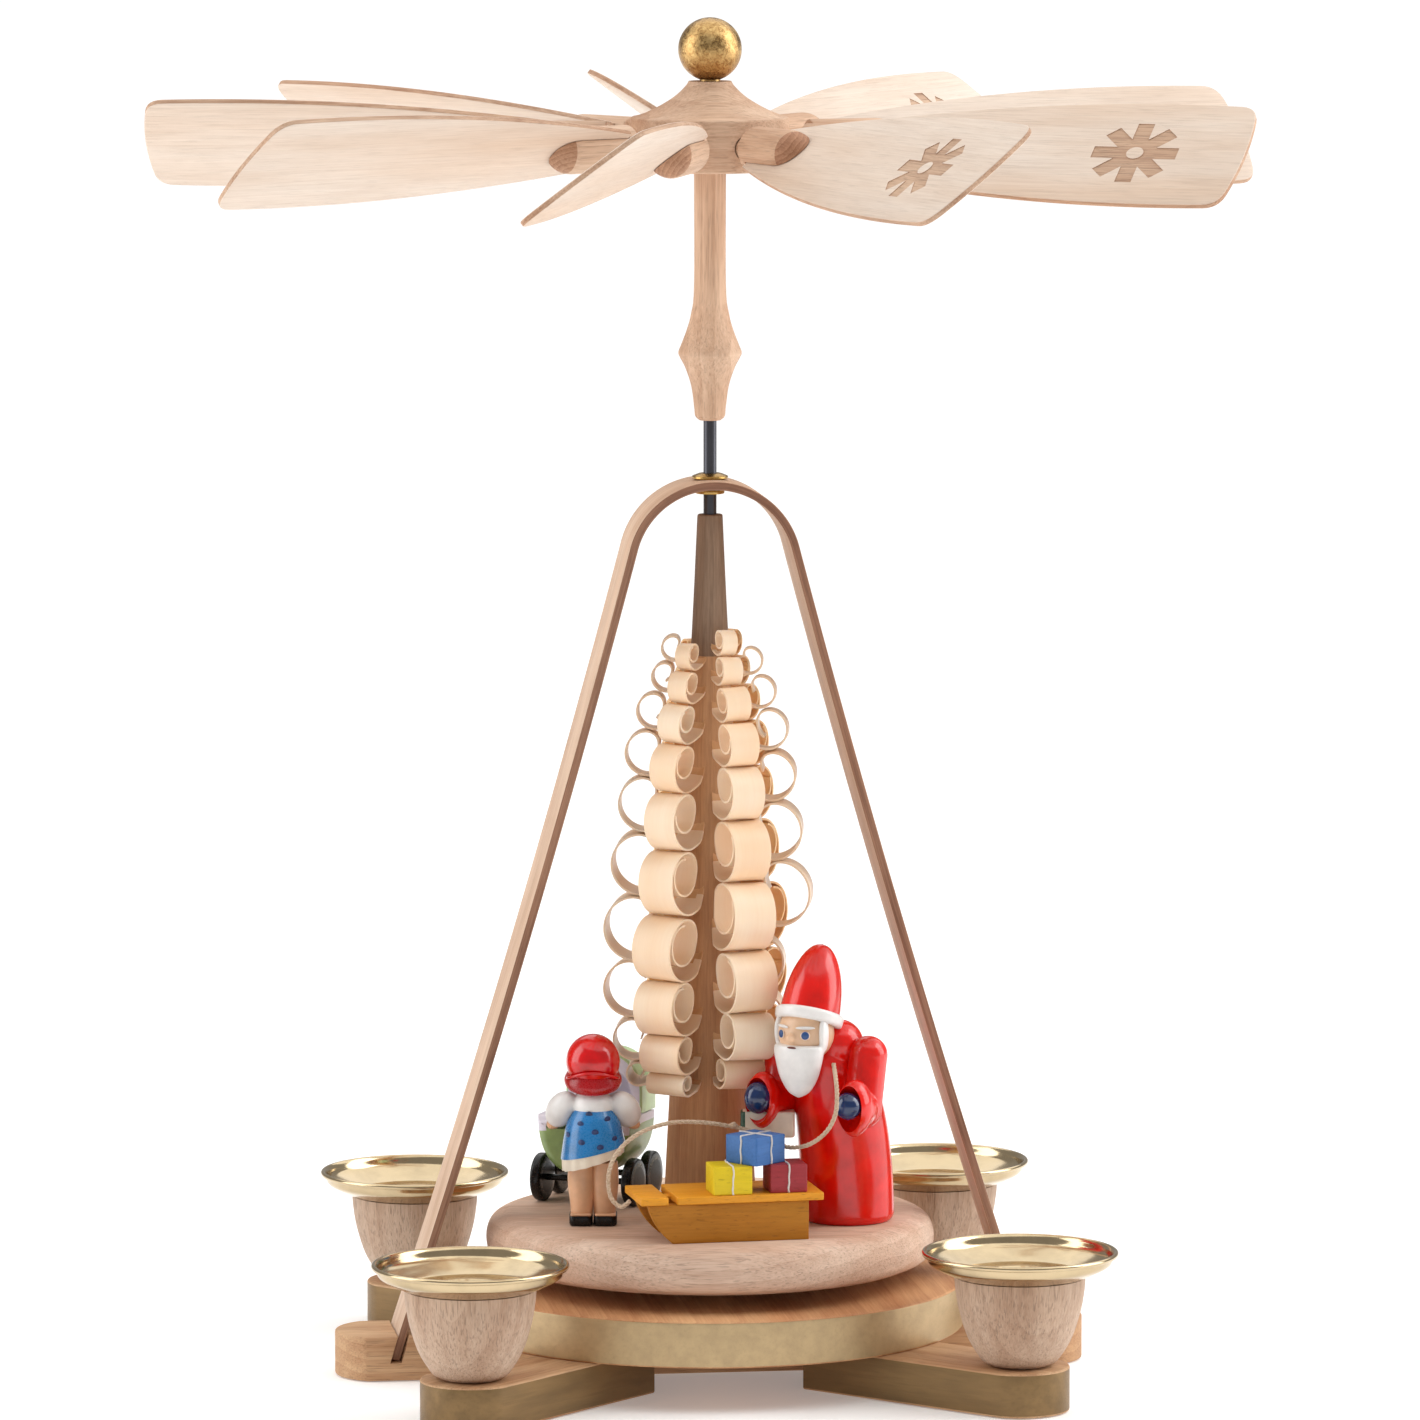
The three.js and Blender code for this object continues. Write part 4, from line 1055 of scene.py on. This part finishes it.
def curl(foot, size, reach, width, angle, draw):
    at_side = abs(math.sin(math.radians(angle))) < 0.3
    turns = draw.uniform(0.74, 0.98) if at_side else draw.uniform(1.3, 1.6)
    path = curl_path(foot, size, reach, turns, draw.uniform(0.58, 0.7))
    share = 1.4 * math.tan(math.pi / curl_columns)
    widths = [min(width, share * max(dot.x, 2)) for dot in path]
    across = (-0.5, -0.25, 0, 0.25, 0.5)
    section = [(x, -0.5 * curl_thickness) for x in across] + [(-x, 0.5 * curl_thickness) for x in across]
    ribbon = band(path, section, widths)
    layer = ribbon.verts.layers.float_vector["grain"]
    shift = Vector((draw.uniform(-90, 90), draw.uniform(-20, 20), draw.uniform(-20, 20)))
    for vert in ribbon.verts:
        vert[layer] = vert[layer] + shift
    middle = foot + size / 2
    sway = move(0, 0, middle) @ turn(draw.uniform(-3, 3), "X") @ move(0, 0, -middle)
    return moved(ribbon, turn(angle + draw.uniform(-1.5, 1.5)) @ sway)


def tier_edge(tier, drop):
    """The height of the edge between two tiers of curls, in a column that starts lower."""
    step = tier_heights[tier] if tier < len(tier_heights) else last_drop
    return curl_top - sum(tier_heights[:tier]) - drop * step


def tier_reach(tier, drop):
    after = tier_reaches[min(tier + 1, len(tier_reaches) - 1)]
    return tier_reaches[tier] + drop * (after - tier_reaches[tier])


def add_tree():
    bore = axle_radius + fit
    outside = [(trunk_radius(height), height) for height in spread(0, trunk_height, 40)[:-1]]
    rim = rounded([outside[-1], (trunk_top_radius, trunk_height), (bore, trunk_height)], 0.7, 4)
    trunk = lathe([(bore, 0), *outside, *rim[1:]], 72, True, shaved)
    # above the top tier of curls the trunk wears the darker look, painted shade
    place(
        "tree_trunk", trunk, "wood_trunk wood_trunk_top", on_top, along="Z",
        choose=lambda middle, normal: middle.z > curl_top - 6,
    )
    draw = random.Random(7)
    ribbons = {"front": [], "back": []}
    for column, drop in enumerate(column_drops):
        angle = first_column + 360 / curl_columns * column
        # curls on the far columns get the more orange look, a painted glow of light shining through
        side = "back" if math.sin(math.radians(angle)) > 0.3 else "front"
        for tier, width in enumerate(tier_widths):
            foot = tier_edge(tier + 1, drop)
            reach = tier_reach(tier, drop)
            if column == 1 and foot < figure_side_top:
                reach = min(figure_side_reach, reach)
            size = min(tier_edge(tier, drop) - foot, reach - trunk_radius(foot) + 3)
            reach -= draw.uniform(0.1, 0.6)
            ribbons[side].append(curl(foot, size, reach, width, angle, draw))
    # faces of the curls close to the trunk get the darker tan look, painted shade
    place(
        "tree_curls", together(*ribbons["front"]), "wood_curl wood_curl_root", on_top, "curl_tree",
        sharp=50, choose=lambda middle, normal: middle.xy.length - trunk_radius(middle.z) < curl_root_shade_reach,
    )
    place("tree_curls_back", together(*ribbons["back"]), "wood_curl_back", on_top, sharp=50)


# Winged wheel
def add_spindle():
    neck, low, high = spindle_neck, spindle_bottom, spindle_bulge_height
    wide, top, bore = spindle_bulge - neck, low + high, axle_radius + fit
    foot = through(
        [(neck - 1.1, low), (neck - 0.25, low + 0.06 * high), (neck, low + 0.2 * high),
         (neck + 0.18 * wide, low + 0.5 * high), (neck + 0.54 * wide, low + 0.76 * high),
         (spindle_bulge - 0.3, top - 1), (spindle_bulge, top), (neck + 0.8 * wide, top + 1.8),
         (neck + 0.48 * wide, top + 0.32 * high), (neck + 0.2 * wide, top + 0.56 * high),
         (neck, top + high), (neck, hub_bottom)],
        5,
    )
    end = hub_bottom + spindle_peg_length
    peg = [(spindle_peg, hub_bottom), (spindle_peg, end), (0, end)]
    turned = lathe([(bore, low), *foot, *peg, (0, axle_top), (bore, axle_top)], 64, True)
    place("spindle_turned", turned, "wood_turned", None, "spindle", "wheel", along="Z")


def add_hub():
    """The hub and the gold ball on it."""
    wide, low, rim, top = hub_radius, hub_bottom, hub_bottom + hub_rim, hub_bottom + hub_height
    cone, peg, hole = hub_height - hub_rim, spindle_peg + fit, ball_peg + fit
    floor, peg_top = top - ball_peg_length - fit, low + spindle_peg_length + fit
    side = rounded([(peg, low), (wide, low), (wide, rim), (wide - 1.2, rim)], 0.7, 4)
    roof = through(
        [(wide - 1.2, rim + 0.1), (0.8 * wide, rim + 0.12 * cone), (0.62 * wide, rim + 0.32 * cone),
         (0.44 * wide, rim + 0.58 * cone), (0.31 * wide, rim + 0.86 * cone), (0.27 * wide, top)],
        5,
    )
    inside = [(hole, top), (hole, floor), (0, floor), (0, peg_top), (peg, peg_top)]
    hub = lathe([*side[:-1], *roof, *inside], 128, True)
    for angle in blade_angles:
        tool = drill(stem_peg + fit, wide - stem_peg_length - fit, wide + 1)
        hub = carved(hub, moved(tool, turn(angle) @ move(0, 0, stem_axis) @ turn(90, "Y")))
    place("hub_turned", hub, "wood_turned", None, "hub", "wheel")
    start = math.asin(ball_peg / ball_radius) - math.pi / 2
    half = [polar(ball_radius, angle, 0, top + ball_radius) for angle in spread(start, math.pi / 2, 40)]
    end = top - ball_peg_length
    profile = [(0, end), (ball_peg, end), *half[:-1], (0, top + 2 * ball_radius)]
    place("gold_ball", lathe(profile, 80), "leaf_gold", None, "ball", "wheel")


blade_angles = [first_blade + 360 / blade_count * index for index in range(blade_count)]


def blade_outline():
    middle = (blade_root + blade_tip) / 2
    tip, root = blade_tip_width / 2, blade_root_width / 2
    lower = bend((blade_root, -root), (middle, -blade_belly / 2), (blade_tip, -tip), 28)
    end = bend((blade_tip, -tip), (blade_tip + 2 * blade_tip_bulge, 0), (blade_tip, tip), 16)
    upper = bend((blade_tip, tip), (middle, blade_belly / 2), (blade_root, root), 28)
    lower = [dot for dot in lower if (dot - lower[-1]).length > blade_corner]
    upper = [dot for dot in upper if (dot - upper[0]).length > blade_corner]
    kept = [dot for dot in end if min((dot - end[0]).length, (dot - end[-1]).length) > blade_corner]
    first = bend(lower[-1], end[0], kept[0], 6)
    second = bend(kept[-1], end[-1], upper[0], 6)
    return lower + first[1:] + kept[1:-1] + second + upper[1:]


def star_tool():
    """Eight straight rays that meet in a ring, with a round hole in the middle left out."""
    low, high = blade_thickness / 2 - star_depth, blade_thickness / 2 + 1
    inner = star_ray / 2 / math.sin(math.pi / star_rays)
    outline = []
    for ray in range(star_rays):
        angle = math.tau * ray / star_rays
        across = Vector((-math.sin(angle), math.cos(angle))) * star_ray / 2
        tip = polar(1, angle) * star_radius
        outline += [tip - across, tip + across, polar(1, angle + math.pi / star_rays) * inner]
    star = loft([[(star_centre + dot.x, dot.y, z) for dot in outline] for z in (low, high)])
    return carved(star, moved(drill(star_hole, low - 1, high + 1), move(star_centre, 0)))


def blade_look(middle, normal):
    """0 on the faces, 1 on the cut edge, 2 in the star."""
    if abs(normal.z) < 0.7:
        return 1
    near = (middle.x - star_centre) ** 2 + middle.y**2 < (star_radius + 1) ** 2
    return 2 if near and abs(middle.z - blade_thickness / 2 + star_depth) < 0.02 else 0


def add_blade(index, angle):
    where = turn(angle) @ move(0, 0, stem_axis) @ turn(blade_pitch, "X")
    half, body = blade_thickness / 2, f"wing_{index + 1}"
    blade = carved(board(blade_outline(), -half, half, 0.28), star_tool())
    looks = "wood_blade wood_blade_edge wood_star"
    place(f"wing_board_{index + 1}", blade, looks, where, f"blade_{index + 1}", body, choose=blade_look)
    wide, root, shoulder = stem_radius, hub_radius - stem_peg_length, hub_radius + stem_standoff
    end = shoulder + stem_length
    nose = through(
        [(wide, end - wide), (0.93 * wide, end - 0.62 * wide), (0.7 * wide, end - 0.26 * wide),
         (0.36 * wide, end - 0.06 * wide), (0, end)],
        4,
    )
    start = [(0, root), (stem_peg, root), (stem_peg, shoulder), (wide, shoulder), (wide, end - wide)]
    stem = moved(lathe([*rounded(start, 0.35, 3), *nose[1:]], 48), turn(90, "Y"))
    gap = half + fit / 2
    slot_from = blade_root - fit
    long = end + 1 - slot_from
    stem = carved(stem, box(long, 2 * wide + 1, 2 * gap, slot_from + long / 2, 0, -gap, 0))
    place(
        f"stem_{index + 1}", stem, "wood_turned wood_stem_end", where, f"blade_stem_{index + 1}", body,
        choose=lambda middle, normal: middle.x > end - 0.7 * wide,
    )


# Gift bringer: the figure faces local -Y
def leaning(co):
    share = max(co.z, 0) / coat_height
    return Vector((co.x, co.y - coat_lean * share**2.2, co.z))


def patch(centre, radius, across, up, sizes, level=False):
    """A spot of paint on a head, so many degrees from the front to its left and upwards. It
    lies along the head, or stays level."""
    tilt = turn(across) @ turn(-up, "X")
    return blob(centre + tilt @ Vector((0, -radius, 0)), sizes, None if level else tilt, 3)


def add_giver():
    where = on_table @ move(*giver_place, table_top) @ turn(giver_turn)
    sides = [(1, 0.08), (0.99, 0.4), (0.95, 0.66), (0.84, 0.82), (0.66, 0.93), (0.3, 1)]
    foot = [(coat_radius - 0.7, 0), (coat_radius, 1.3)]
    side = through(foot + shares(coat_radius, coat_height, *sides), 8)
    coat = pulled(lathe([(0, 0), *side, (0, coat_height)], 80), leaning)
    hood = blob((0.44 * hood_radius, 0.3 * hood_radius - coat_lean, coat_height), (hood_radius,) * 3)
    place("coat", smoothed(fused(0.4, coat, hood), 5), "red_gloss", where, "gift_bringer_coat")

    size = giver_head
    centre = Vector((head_side, -coat_lean - 0.95 * size, coat_height + 0.55 * size))
    head = blob(centre, (size * 0.98, size * 0.96, size * 1.02))
    nose = patch(centre, size + 0.35, 0, -5, (0.95, 1.35, 1.0), True)
    place("face", smoothed(fused(0.3, head, nose), 3), "skin_face", where, "gift_bringer_head")
    side = [(0.01, -13.8), (2.5, -12.4), (4.5, -9.2), (5.6, -5.2), (5.8, -3.2), (5, -2.2), (0.01, -1.9)]
    flat = move(*(centre + Vector((0, -0.5 * size, 0)))) @ Matrix.Diagonal((1, 0.6, 1, 1))
    hair = [moved(lathe(through(side, 6), 48), flat)]
    for way in (-1, 1):
        hair.append(blob(centre + Vector((way * 5.3, -1.6, 0.2)), (0.95, 1.9, 4.0), turn(way * 12), 3))
    brows = [patch(centre, size - 0.15, way * eye_side, 17, (2.1, 0.5, 0.36)) for way in (-1, 1)]
    place("beard", together(smoothed(fused(0.25, *hair), 3), *brows), "white_gloss", where)
    mouth = blob(centre + Vector((0.2, -0.5 * size - 3.3, -2.5)), (1.1, 0.35, 0.24), fine=3)
    place("mouth", mouth, "mouth_brown", where)
    for name, way in SIDES:
        white = patch(centre, size - 0.16, way * eye_side, 1, (1.05, 0.35, 0.95))
        place(f"eye_white_{name}", white, "skin_pale", where)
        iris = patch(centre, size + 0.06, way * eye_side, 1.5, (0.86, 0.3, 0.86))
        place(f"eye_{name}", iris, "eye_blue", where)
        add_giver_arm(name, way, where)

    tilted = move(*centre) @ turn(hat_tilt, "X") @ move(0, 0, 0.3 * size)
    wide = 1.19 * size
    sides = [(0.87, 0.24), (0.81, 0.46), (0.69, 0.66), (0.5, 0.84), (0.26, 0.96)]
    cone = through([(0.89 * wide, 1), *shares(wide, hat_height, *sides), (0.01, hat_height)], 6)
    place("hat", moved(lathe([(0, 1), *cone], 64), tilted), "red_gloss", where, "gift_bringer_hat")
    high = brim_height
    ring = [(wide - 2.4, 0.3), (wide - 0.1, 0), (wide + 0.2, high), (wide - 1.6, high + 0.3)]
    fur = lathe(rounded(ring, 1.0, 6, True), 64, True)
    place("hat_brim", moved(fur, tilted), "white_gloss", where)


def add_giver_arm(name, way, where):
    """Upper arm, forearm and a cuff like a trumpet, with the glove in it."""
    top = coat_height - 0.5 * arm_radius
    shoulder = Vector((way * arm_side, -coat_lean + 1.4, top))
    elbow = Vector((way * arm_side, -coat_lean - 1, top - upper_arm))
    wrist = elbow + Vector((0, -forearm, 1.2))
    if way > 0:
        wrist += Vector((1.0, 0.7, 0))
        shoulder -= Vector((0.7, 0, 0))
        elbow -= Vector((0.7, 0, 0))
    arm = [tube([shoulder, elbow], arm_radius + 0.9, 32), tube([elbow, wrist], arm_radius + 0.6, 32)]
    arm += [blob(dot, (arm_radius + 0.95,) * 3) for dot in (shoulder, elbow)]

    def tapered(co):
        """The cuff narrows to a blunt point below."""
        share = max(0.0, -(co.z - wrist.z) / cuff_length)
        return Vector(((co.x - wrist.x) * (1 - 0.3 * share**2) + wrist.x, co.y, co.z))

    sizes = (cuff_radius + 0.2, cuff_radius + 0.6, cuff_length)
    cuff = pulled(blob(wrist + Vector((0, -0.3 * cuff_radius, 0)), sizes), tapered)
    sizes = (cuff_radius - 0.5, cuff_radius, cuff_length - 1.2)
    mouth = blob(wrist + Vector((0, -cuff_radius - 0.5, 0.2)), sizes)
    sleeve = carved(smoothed(fused(0.3, *arm, cuff), 4), mouth)
    place(f"arm_{name}", sleeve, "red_gloss", where, f"gift_bringer_arm_{name}")
    sizes = (glove_radius, glove_radius, glove_radius * (1.0 if way > 0 else 1.18))
    glove = blob(wrist + Vector((-0.2 * way, -cuff_radius, 0.8)), sizes)
    place(f"glove_{name}", glove, "glove_blue", where)
    if way < 0:
        bottom = elbow.z - 0.4 * arm_radius - parcel_height
        spot = move(-arm_side, -parcel_forward, bottom) @ turn(-giver_turn)
        parcel = box(parcel_length, parcel_depth, parcel_height, edge=0.5)
        place(
            "arm_parcel", parcel, "cream_gloss dark_green", where @ spot,
            choose=lambda middle, normal: middle.x < -0.2 * parcel_length,
        )


# Girl: she faces local -Y
def add_girl():
    where = on_table @ move(*girl_place, table_top) @ turn(girl_turn)
    wide, low, waist = skirt_radius, leg_height, leg_height + skirt_height
    for name, way in SIDES:
        sides = [(0.86, 0.16), (0.9, 0.3), (1.06, 0.55), (1.12, 0.75), (1.05, 1)]
        shank = through(shares(leg_radius, low, *sides), 5)
        leg = moved(lathe([(0, 0.16 * low), *shank, (0, low)], 40), move(way * 0.9 * leg_radius, 0))
        place(f"leg_{name}", leg, "skin", where, "girl_legs" if way > 0 else None)
        x = way * 0.52 * shoe_width
        shoe = box(shoe_width, shoe_length, shoe_height, x, -0.08 * shoe_length, 0, 0.7)
        place(f"shoe_{name}", shoe, "black_gloss", where)
        sock = box(shoe_width - 0.5, shoe_length - 0.9, 0.5, x, -0.1, shoe_height - 0.35, 0.24)
        place(f"sock_{name}", sock, "skin", where)

    flare = [(wide, low + 2.3), (0.97 * wide, low + 3.6), (0.91 * wide, low + 6), (0.8 * wide, low + 9)]
    flare = through([*flare, (0.62 * wide, waist + 0.4)], 6)
    skirt = lathe([(0, low + 2.4), *flare, (0, waist + 0.4)], 72)
    place("skirt", pulled(skirt, slanted), "skirt_blue", where, "girl_body")
    hem = [(0, low + 0.6), (wide - 1.6, low + 0.2), (wide - 0.5, low), (wide - 0.15, low + 2.6)]
    hem = lathe([*hem, (0, low + 3)], shape=scalloped)
    place("hem", pulled(hem, slanted), "cream_gloss", where)
    dots = []
    for way, row in ((1, skirt_spots), (-1, [(-x, z + 0.7) for x, z in skirt_spots])):
        for across, height in row:
            around = skirt_at(flare, height + 0.1 * across)
            depth = math.sqrt(max(1.0, around**2 - across**2))
            tilt = turn(math.degrees(math.atan2(-across, depth)) * way) @ turn(-12 * way, "X")
            dots.append(blob((across, way * depth, height), (0.8, 0.22, 0.75), tilt, 2))
    place("skirt_dots", together(*dots), "navy", where)

    neck = low + torso_height
    chest = through([(4.3, waist), (4.4, waist + 1.4), (3.8, waist + 3), (2.2, neck)], 5)
    top = [lathe([(0, waist - 0.4), *chest, (0, neck)], 48)]
    for name, way in SIDES:
        shoulder = Vector((way * 0.86 * sleeve_side, -0.4, waist + 0.5 * sleeve_length))
        elbow = Vector((way * 1.08 * sleeve_side, -0.4 - sleeve_length, waist - 0.5 * sleeve_length))
        lean = (elbow - shoulder).to_track_quat("Z", "Y").to_matrix().to_4x4()
        sizes = (sleeve_radius, sleeve_radius, sleeve_radius + 0.5 * (elbow - shoulder).length)
        top.append(blob((shoulder + elbow) / 2, sizes, lean))
        hand = blob((way * 8.4, -4.4, waist - 3.4), (1.7, 2.0, 1.3), turn(way * 24, "Y"), 3)
        place(f"hand_{name}", hand, "skin", where)
    place("blouse", smoothed(fused(0.3, *top), 3), "white_gloss", where)

    centre = neck + fit + girl_head
    head = blob((0, 0, centre), (girl_head * 0.98, girl_head * 0.98, girl_head))
    place("scarf", head, "scarf_red", where, "girl_head")
    edge = shares(scarf_flare, -scarf_drop, (0, 1), (0.92, 1), (1, 0.72), (0.8, 0.3), (0, 0))
    tail = lathe([edge[0], *rounded(edge, 0.7, 5)[1:-1], edge[-1]], 64)
    tail = moved(tail, move(0, 0.1 * girl_head, centre) @ turn(scarf_tilt, "X"))
    place("scarf_tail", tail, "scarf_dark", where)
    fold = [
        (5.55 * math.sin(a), 0.4 + 5.75 * math.cos(a), centre - 1.7 - 1.7 * math.sin(a) ** 2)
        for a in spread(-1.35, 1.35, 24)
    ]
    place("scarf_fold", tube(fold, 0.34, 10), "scarf_red", where)


def slanted(co):
    """Her skirt hangs lower on her left."""
    share = max(0.0, 1 - (co.z - leg_height) / skirt_height)
    return Vector((co.x, co.y, co.z - 0.3 * co.x * share))


def scalloped(angle, radius, height):
    return radius + 0.22 * math.cos(14 * angle) if height < leg_height + 0.5 and radius > 4 else radius


def skirt_at(flare, height):
    """The skirt's radius at a height."""
    for low, high in zip(flare, flare[1:]):
        if low[1] <= height <= high[1]:
            return low[0] + (high[0] - low[0]) * (height - low[1]) / (high[1] - low[1])
    return flare[0][0]


# Pram: it is pushed along local +Y
pram_floor = pram_wheel + 1.4 * pram_axle
pram_rim = pram_floor + pram_depth
upright = Matrix(((1, 0, 0, 0), (0, 0, -1, 0), (0, 1, 0, 0), (0, 0, 0, 1)))


def hood_arc(margin):
    side = hood_side - margin
    arc = [polar(side, angle, 0, pram_rim + hood_stand) for angle in spread(0, math.pi, 36)]
    return [(-side, pram_rim + 0.1), (side, pram_rim + 0.1), *arc]


def add_pram():
    where = on_table @ move(*pram_place, table_top) @ turn(pram_turn)
    wide, low, rim, half = pram_radius, pram_floor, pram_rim, pram_width / 2
    outline = bend((-wide, rim), (-wide, low), (0, low), 14)
    outline += bend((0, low), (wide, low), (wide, rim), 14)[1:]
    tub = moved(board(outline, -half, half, 2.6, 6), upright)
    place(
        "pram_tub", tub, "pram_green lilac", where, "pram_body",
        choose=lambda middle, normal: middle.z > rim - 2.6,
    )
    hood = moved(board(hood_arc(0), -half, hood_width - half, 0.5, 4), upright)
    recess = board(hood_arc(hood_rim), -half + hood_rim, hood_width - half + 1, 0.3, 2)
    hood = carved(hood, moved(recess, upright @ move(0, -1, 0)))
    looks = "pale_green lilac"
    place("pram_hood_shell", hood, looks, where @ move(hood_shift, 0), "pram_hood", choose=inside_hood)
    thick = pram_wheel_width / 2
    side = [(0, -thick), (0.62 * pram_wheel, -thick + 0.1), (pram_wheel, -0.8 * thick)]
    profile = rounded(side + [(radius, -height) for radius, height in reversed(side)], 0.7, 5)
    for name, y in (("rear", -pram_base / 2), ("front", pram_base / 2)):
        ends = [(way * pram_track / 2, y, pram_wheel) for way in (-1, 1)]
        wheels = [moved(lathe(profile, 56), move(*end) @ turn(90, "Y")) for end in ends]
        pair = together(*wheels, tube(ends, pram_axle, 16))
        looks = "black_gloss wheel_grey"
        place(f"wheels_{name}", pair, looks, where, f"pram_{name}_wheels", choose=wheel_face)


def inside_hood(middle, normal):
    """1 on the lining of the hood, 0 outside."""
    far = math.hypot(middle.x, max(0.0, middle.z - pram_rim - hood_stand))
    return far < hood_side - hood_rim + 0.2 and middle.y < pram_width / 2 - 0.5 * hood_rim


def wheel_face(middle, normal):
    """1 on a wheel's disc, 0 on its tyre."""
    from_axle = math.hypot(abs(middle.y) - pram_base / 2, middle.z - pram_wheel)
    return abs(normal.x) > 0.9 and from_axle < 0.66 * pram_wheel


# Sled and gifts: its front is at local -X
def add_sled():
    where = on_table @ move(*sled_place, table_top) @ turn(sled_turn)
    low, half = sled_height - board_height, sled_length / 2
    deck = sled_length - slat_length - slat_gap
    top = together(
        box(slat_length, sled_width, board_height, slat_length / 2 - half, 0, low),
        box(deck, sled_width, board_height, half - deck / 2, 0, low),
        box(sled_length - slat_length, 3, board_height / 2, 0, 0, low + 0.02),
    )
    place("sled_top", top, "ochre", where, "sled_deck")
    back, nose = 0.42 * sled_length, -0.46 * sled_length
    outline = [*bend((nose, low), (0.93 * nose, 0.4 * low), (0.7 * nose, 0), 12), (back, 0), (back, low)]
    for name, way in SIDES:
        y = way * (sled_width / 2 - runner_inset - runner_thickness / 2)
        runner = board(outline, -runner_thickness / 2, runner_thickness / 2, 0.25)
        runner = moved(runner, move(0, -y, 0) @ turn(90, "X"))
        # the runners wear the darker ochre, painted shade
        place(f"runner_{name}", runner, "ochre_side", where, f"sled_runner_{name}")
    on_gifts = move(6.2, -2.6, sled_height + gift_height) @ turn(35)
    for name, width, spot, ways in (
        ("yellow", 8.4, move(0.2, -4, sled_height), (90,)),
        ("red", 8, move(12.4, -3.6, sled_height), (90,)),
        ("blue", 9, on_gifts, (0, 90)),
    ):
        parcel = box(width, width, gift_height, edge=0.2)
        place(f"parcel_{name}", parcel, f"gift_{name}", where @ spot, f"gift_{name}")
        strings = together(*[gift_string(width, way) for way in ways])
        place(f"string_{name}", strings, "string_white", where @ spot, sharp=60)


def gift_string(width, way):
    """A loop of rough string round a gift, up, over and down again."""
    half, high = width / 2 + 0.08, gift_height + 0.08
    corners = [Vector((x, 0, z)) for x, z in ((-half, 0.15), (-half, high), (half, high), (half, 0.15))]
    line = []
    for start, end in zip(corners, corners[1:]):
        line += [start.lerp(end, share) for share in spread(0, 1, 12)[:-1]]
    line.append(corners[-1])
    line = [dot + Vector((0, 0.3 * noise.noise(dot * 0.5 + Vector((width, way, 0))), 0)) for dot in line]
    return moved(tube(line, [0.2 + 0.07 * noise.noise(dot * 2.2) for dot in line]), turn(way))


add_cord()
for corner, angle in (
    ("front_right", -arm_angle),
    ("rear_right", arm_angle),
    ("rear_left", 180 - arm_angle),
    ("front_left", 180 + arm_angle),
):
    add_arm(corner, angle)
    add_candle_place(corner, angle)
add_crossbar()
add_plate()
add_arch()
add_axle()
add_table()
add_tree()
add_spindle()
add_hub()
for index, angle in enumerate(blade_angles):
    add_blade(index, angle)
add_giver()
add_girl()
add_pram()
add_sled()


# Studio: a pale floor, white surroundings and large soft boxes
def add_floor():
    bm = bmesh.new()
    bmesh.ops.create_circle(bm, cap_ends=True, segments=96, radius=14)
    look = Look("floor", 0.7, 0.1)
    grain = look.add("TexCoord", {}).outputs["Object"]
    spots = {"Vector": grain, "Scale": 3.0, "Detail": 2, "Roughness": 0.55, "Distortion": 0.0}
    tint = look.add("TexNoise", spots).outputs[0]
    look.give("Base Color", look.mix(tint, tone([0.94] * 3), tone([0.96] * 3)))
    look.give("Emission Color", (1, 1, 1, 1))
    look.give("Emission Strength", floor_glow)
    floor = linked("floor", baked(bm, "floor"))
    floor.data.materials.append(look.material)
    floor.location.z = -0.0002


def add_box(name, spot, power):
    lamp = bpy.data.lights.new(name, "AREA")
    lamp.shape = "RECTANGLE"
    lamp.size, lamp.size_y = box_size
    lamp.energy = power
    aimed(name, lamp, spot, light_target)


def add_world():
    """White to the camera, and a warm even fill for the object."""
    world = bpy.data.worlds.new("studio")
    bpy.context.scene.world = world
    world.use_nodes = True
    nodes, links = world.node_tree.nodes, world.node_tree.links
    nodes.clear()
    pick = nodes.new("ShaderNodeMixShader")
    path = nodes.new("ShaderNodeLightPath")
    links.new(path.outputs["Is Camera Ray"], pick.inputs[0])
    for socket, colour, strength in ((1, (1, 0.97, 0.94, 1), fill_strength), (2, (1, 1, 1, 1), 1.0)):
        glow = nodes.new("ShaderNodeBackground")
        glow.inputs["Color"].default_value = colour
        glow.inputs["Strength"].default_value = strength
        links.new(glow.outputs[0], pick.inputs[socket])
    links.new(pick.outputs[0], nodes.new("ShaderNodeOutputWorld").inputs["Surface"])


def add_sky():
    """An even light from above, which keeps the floor white as far as it shows."""
    sky = bpy.data.lights.new("sky", "SUN")
    sky.energy = sky_strength
    sky.angle = math.radians(100)
    linked("sky", sky).rotation_euler = (math.radians(-12), math.radians(10), 0)


add_floor()
add_world()
add_sky()
add_box("right_box", *right_box)
add_box("left_box", *left_box)
bpy.context.scene.view_settings.view_transform = "Standard"
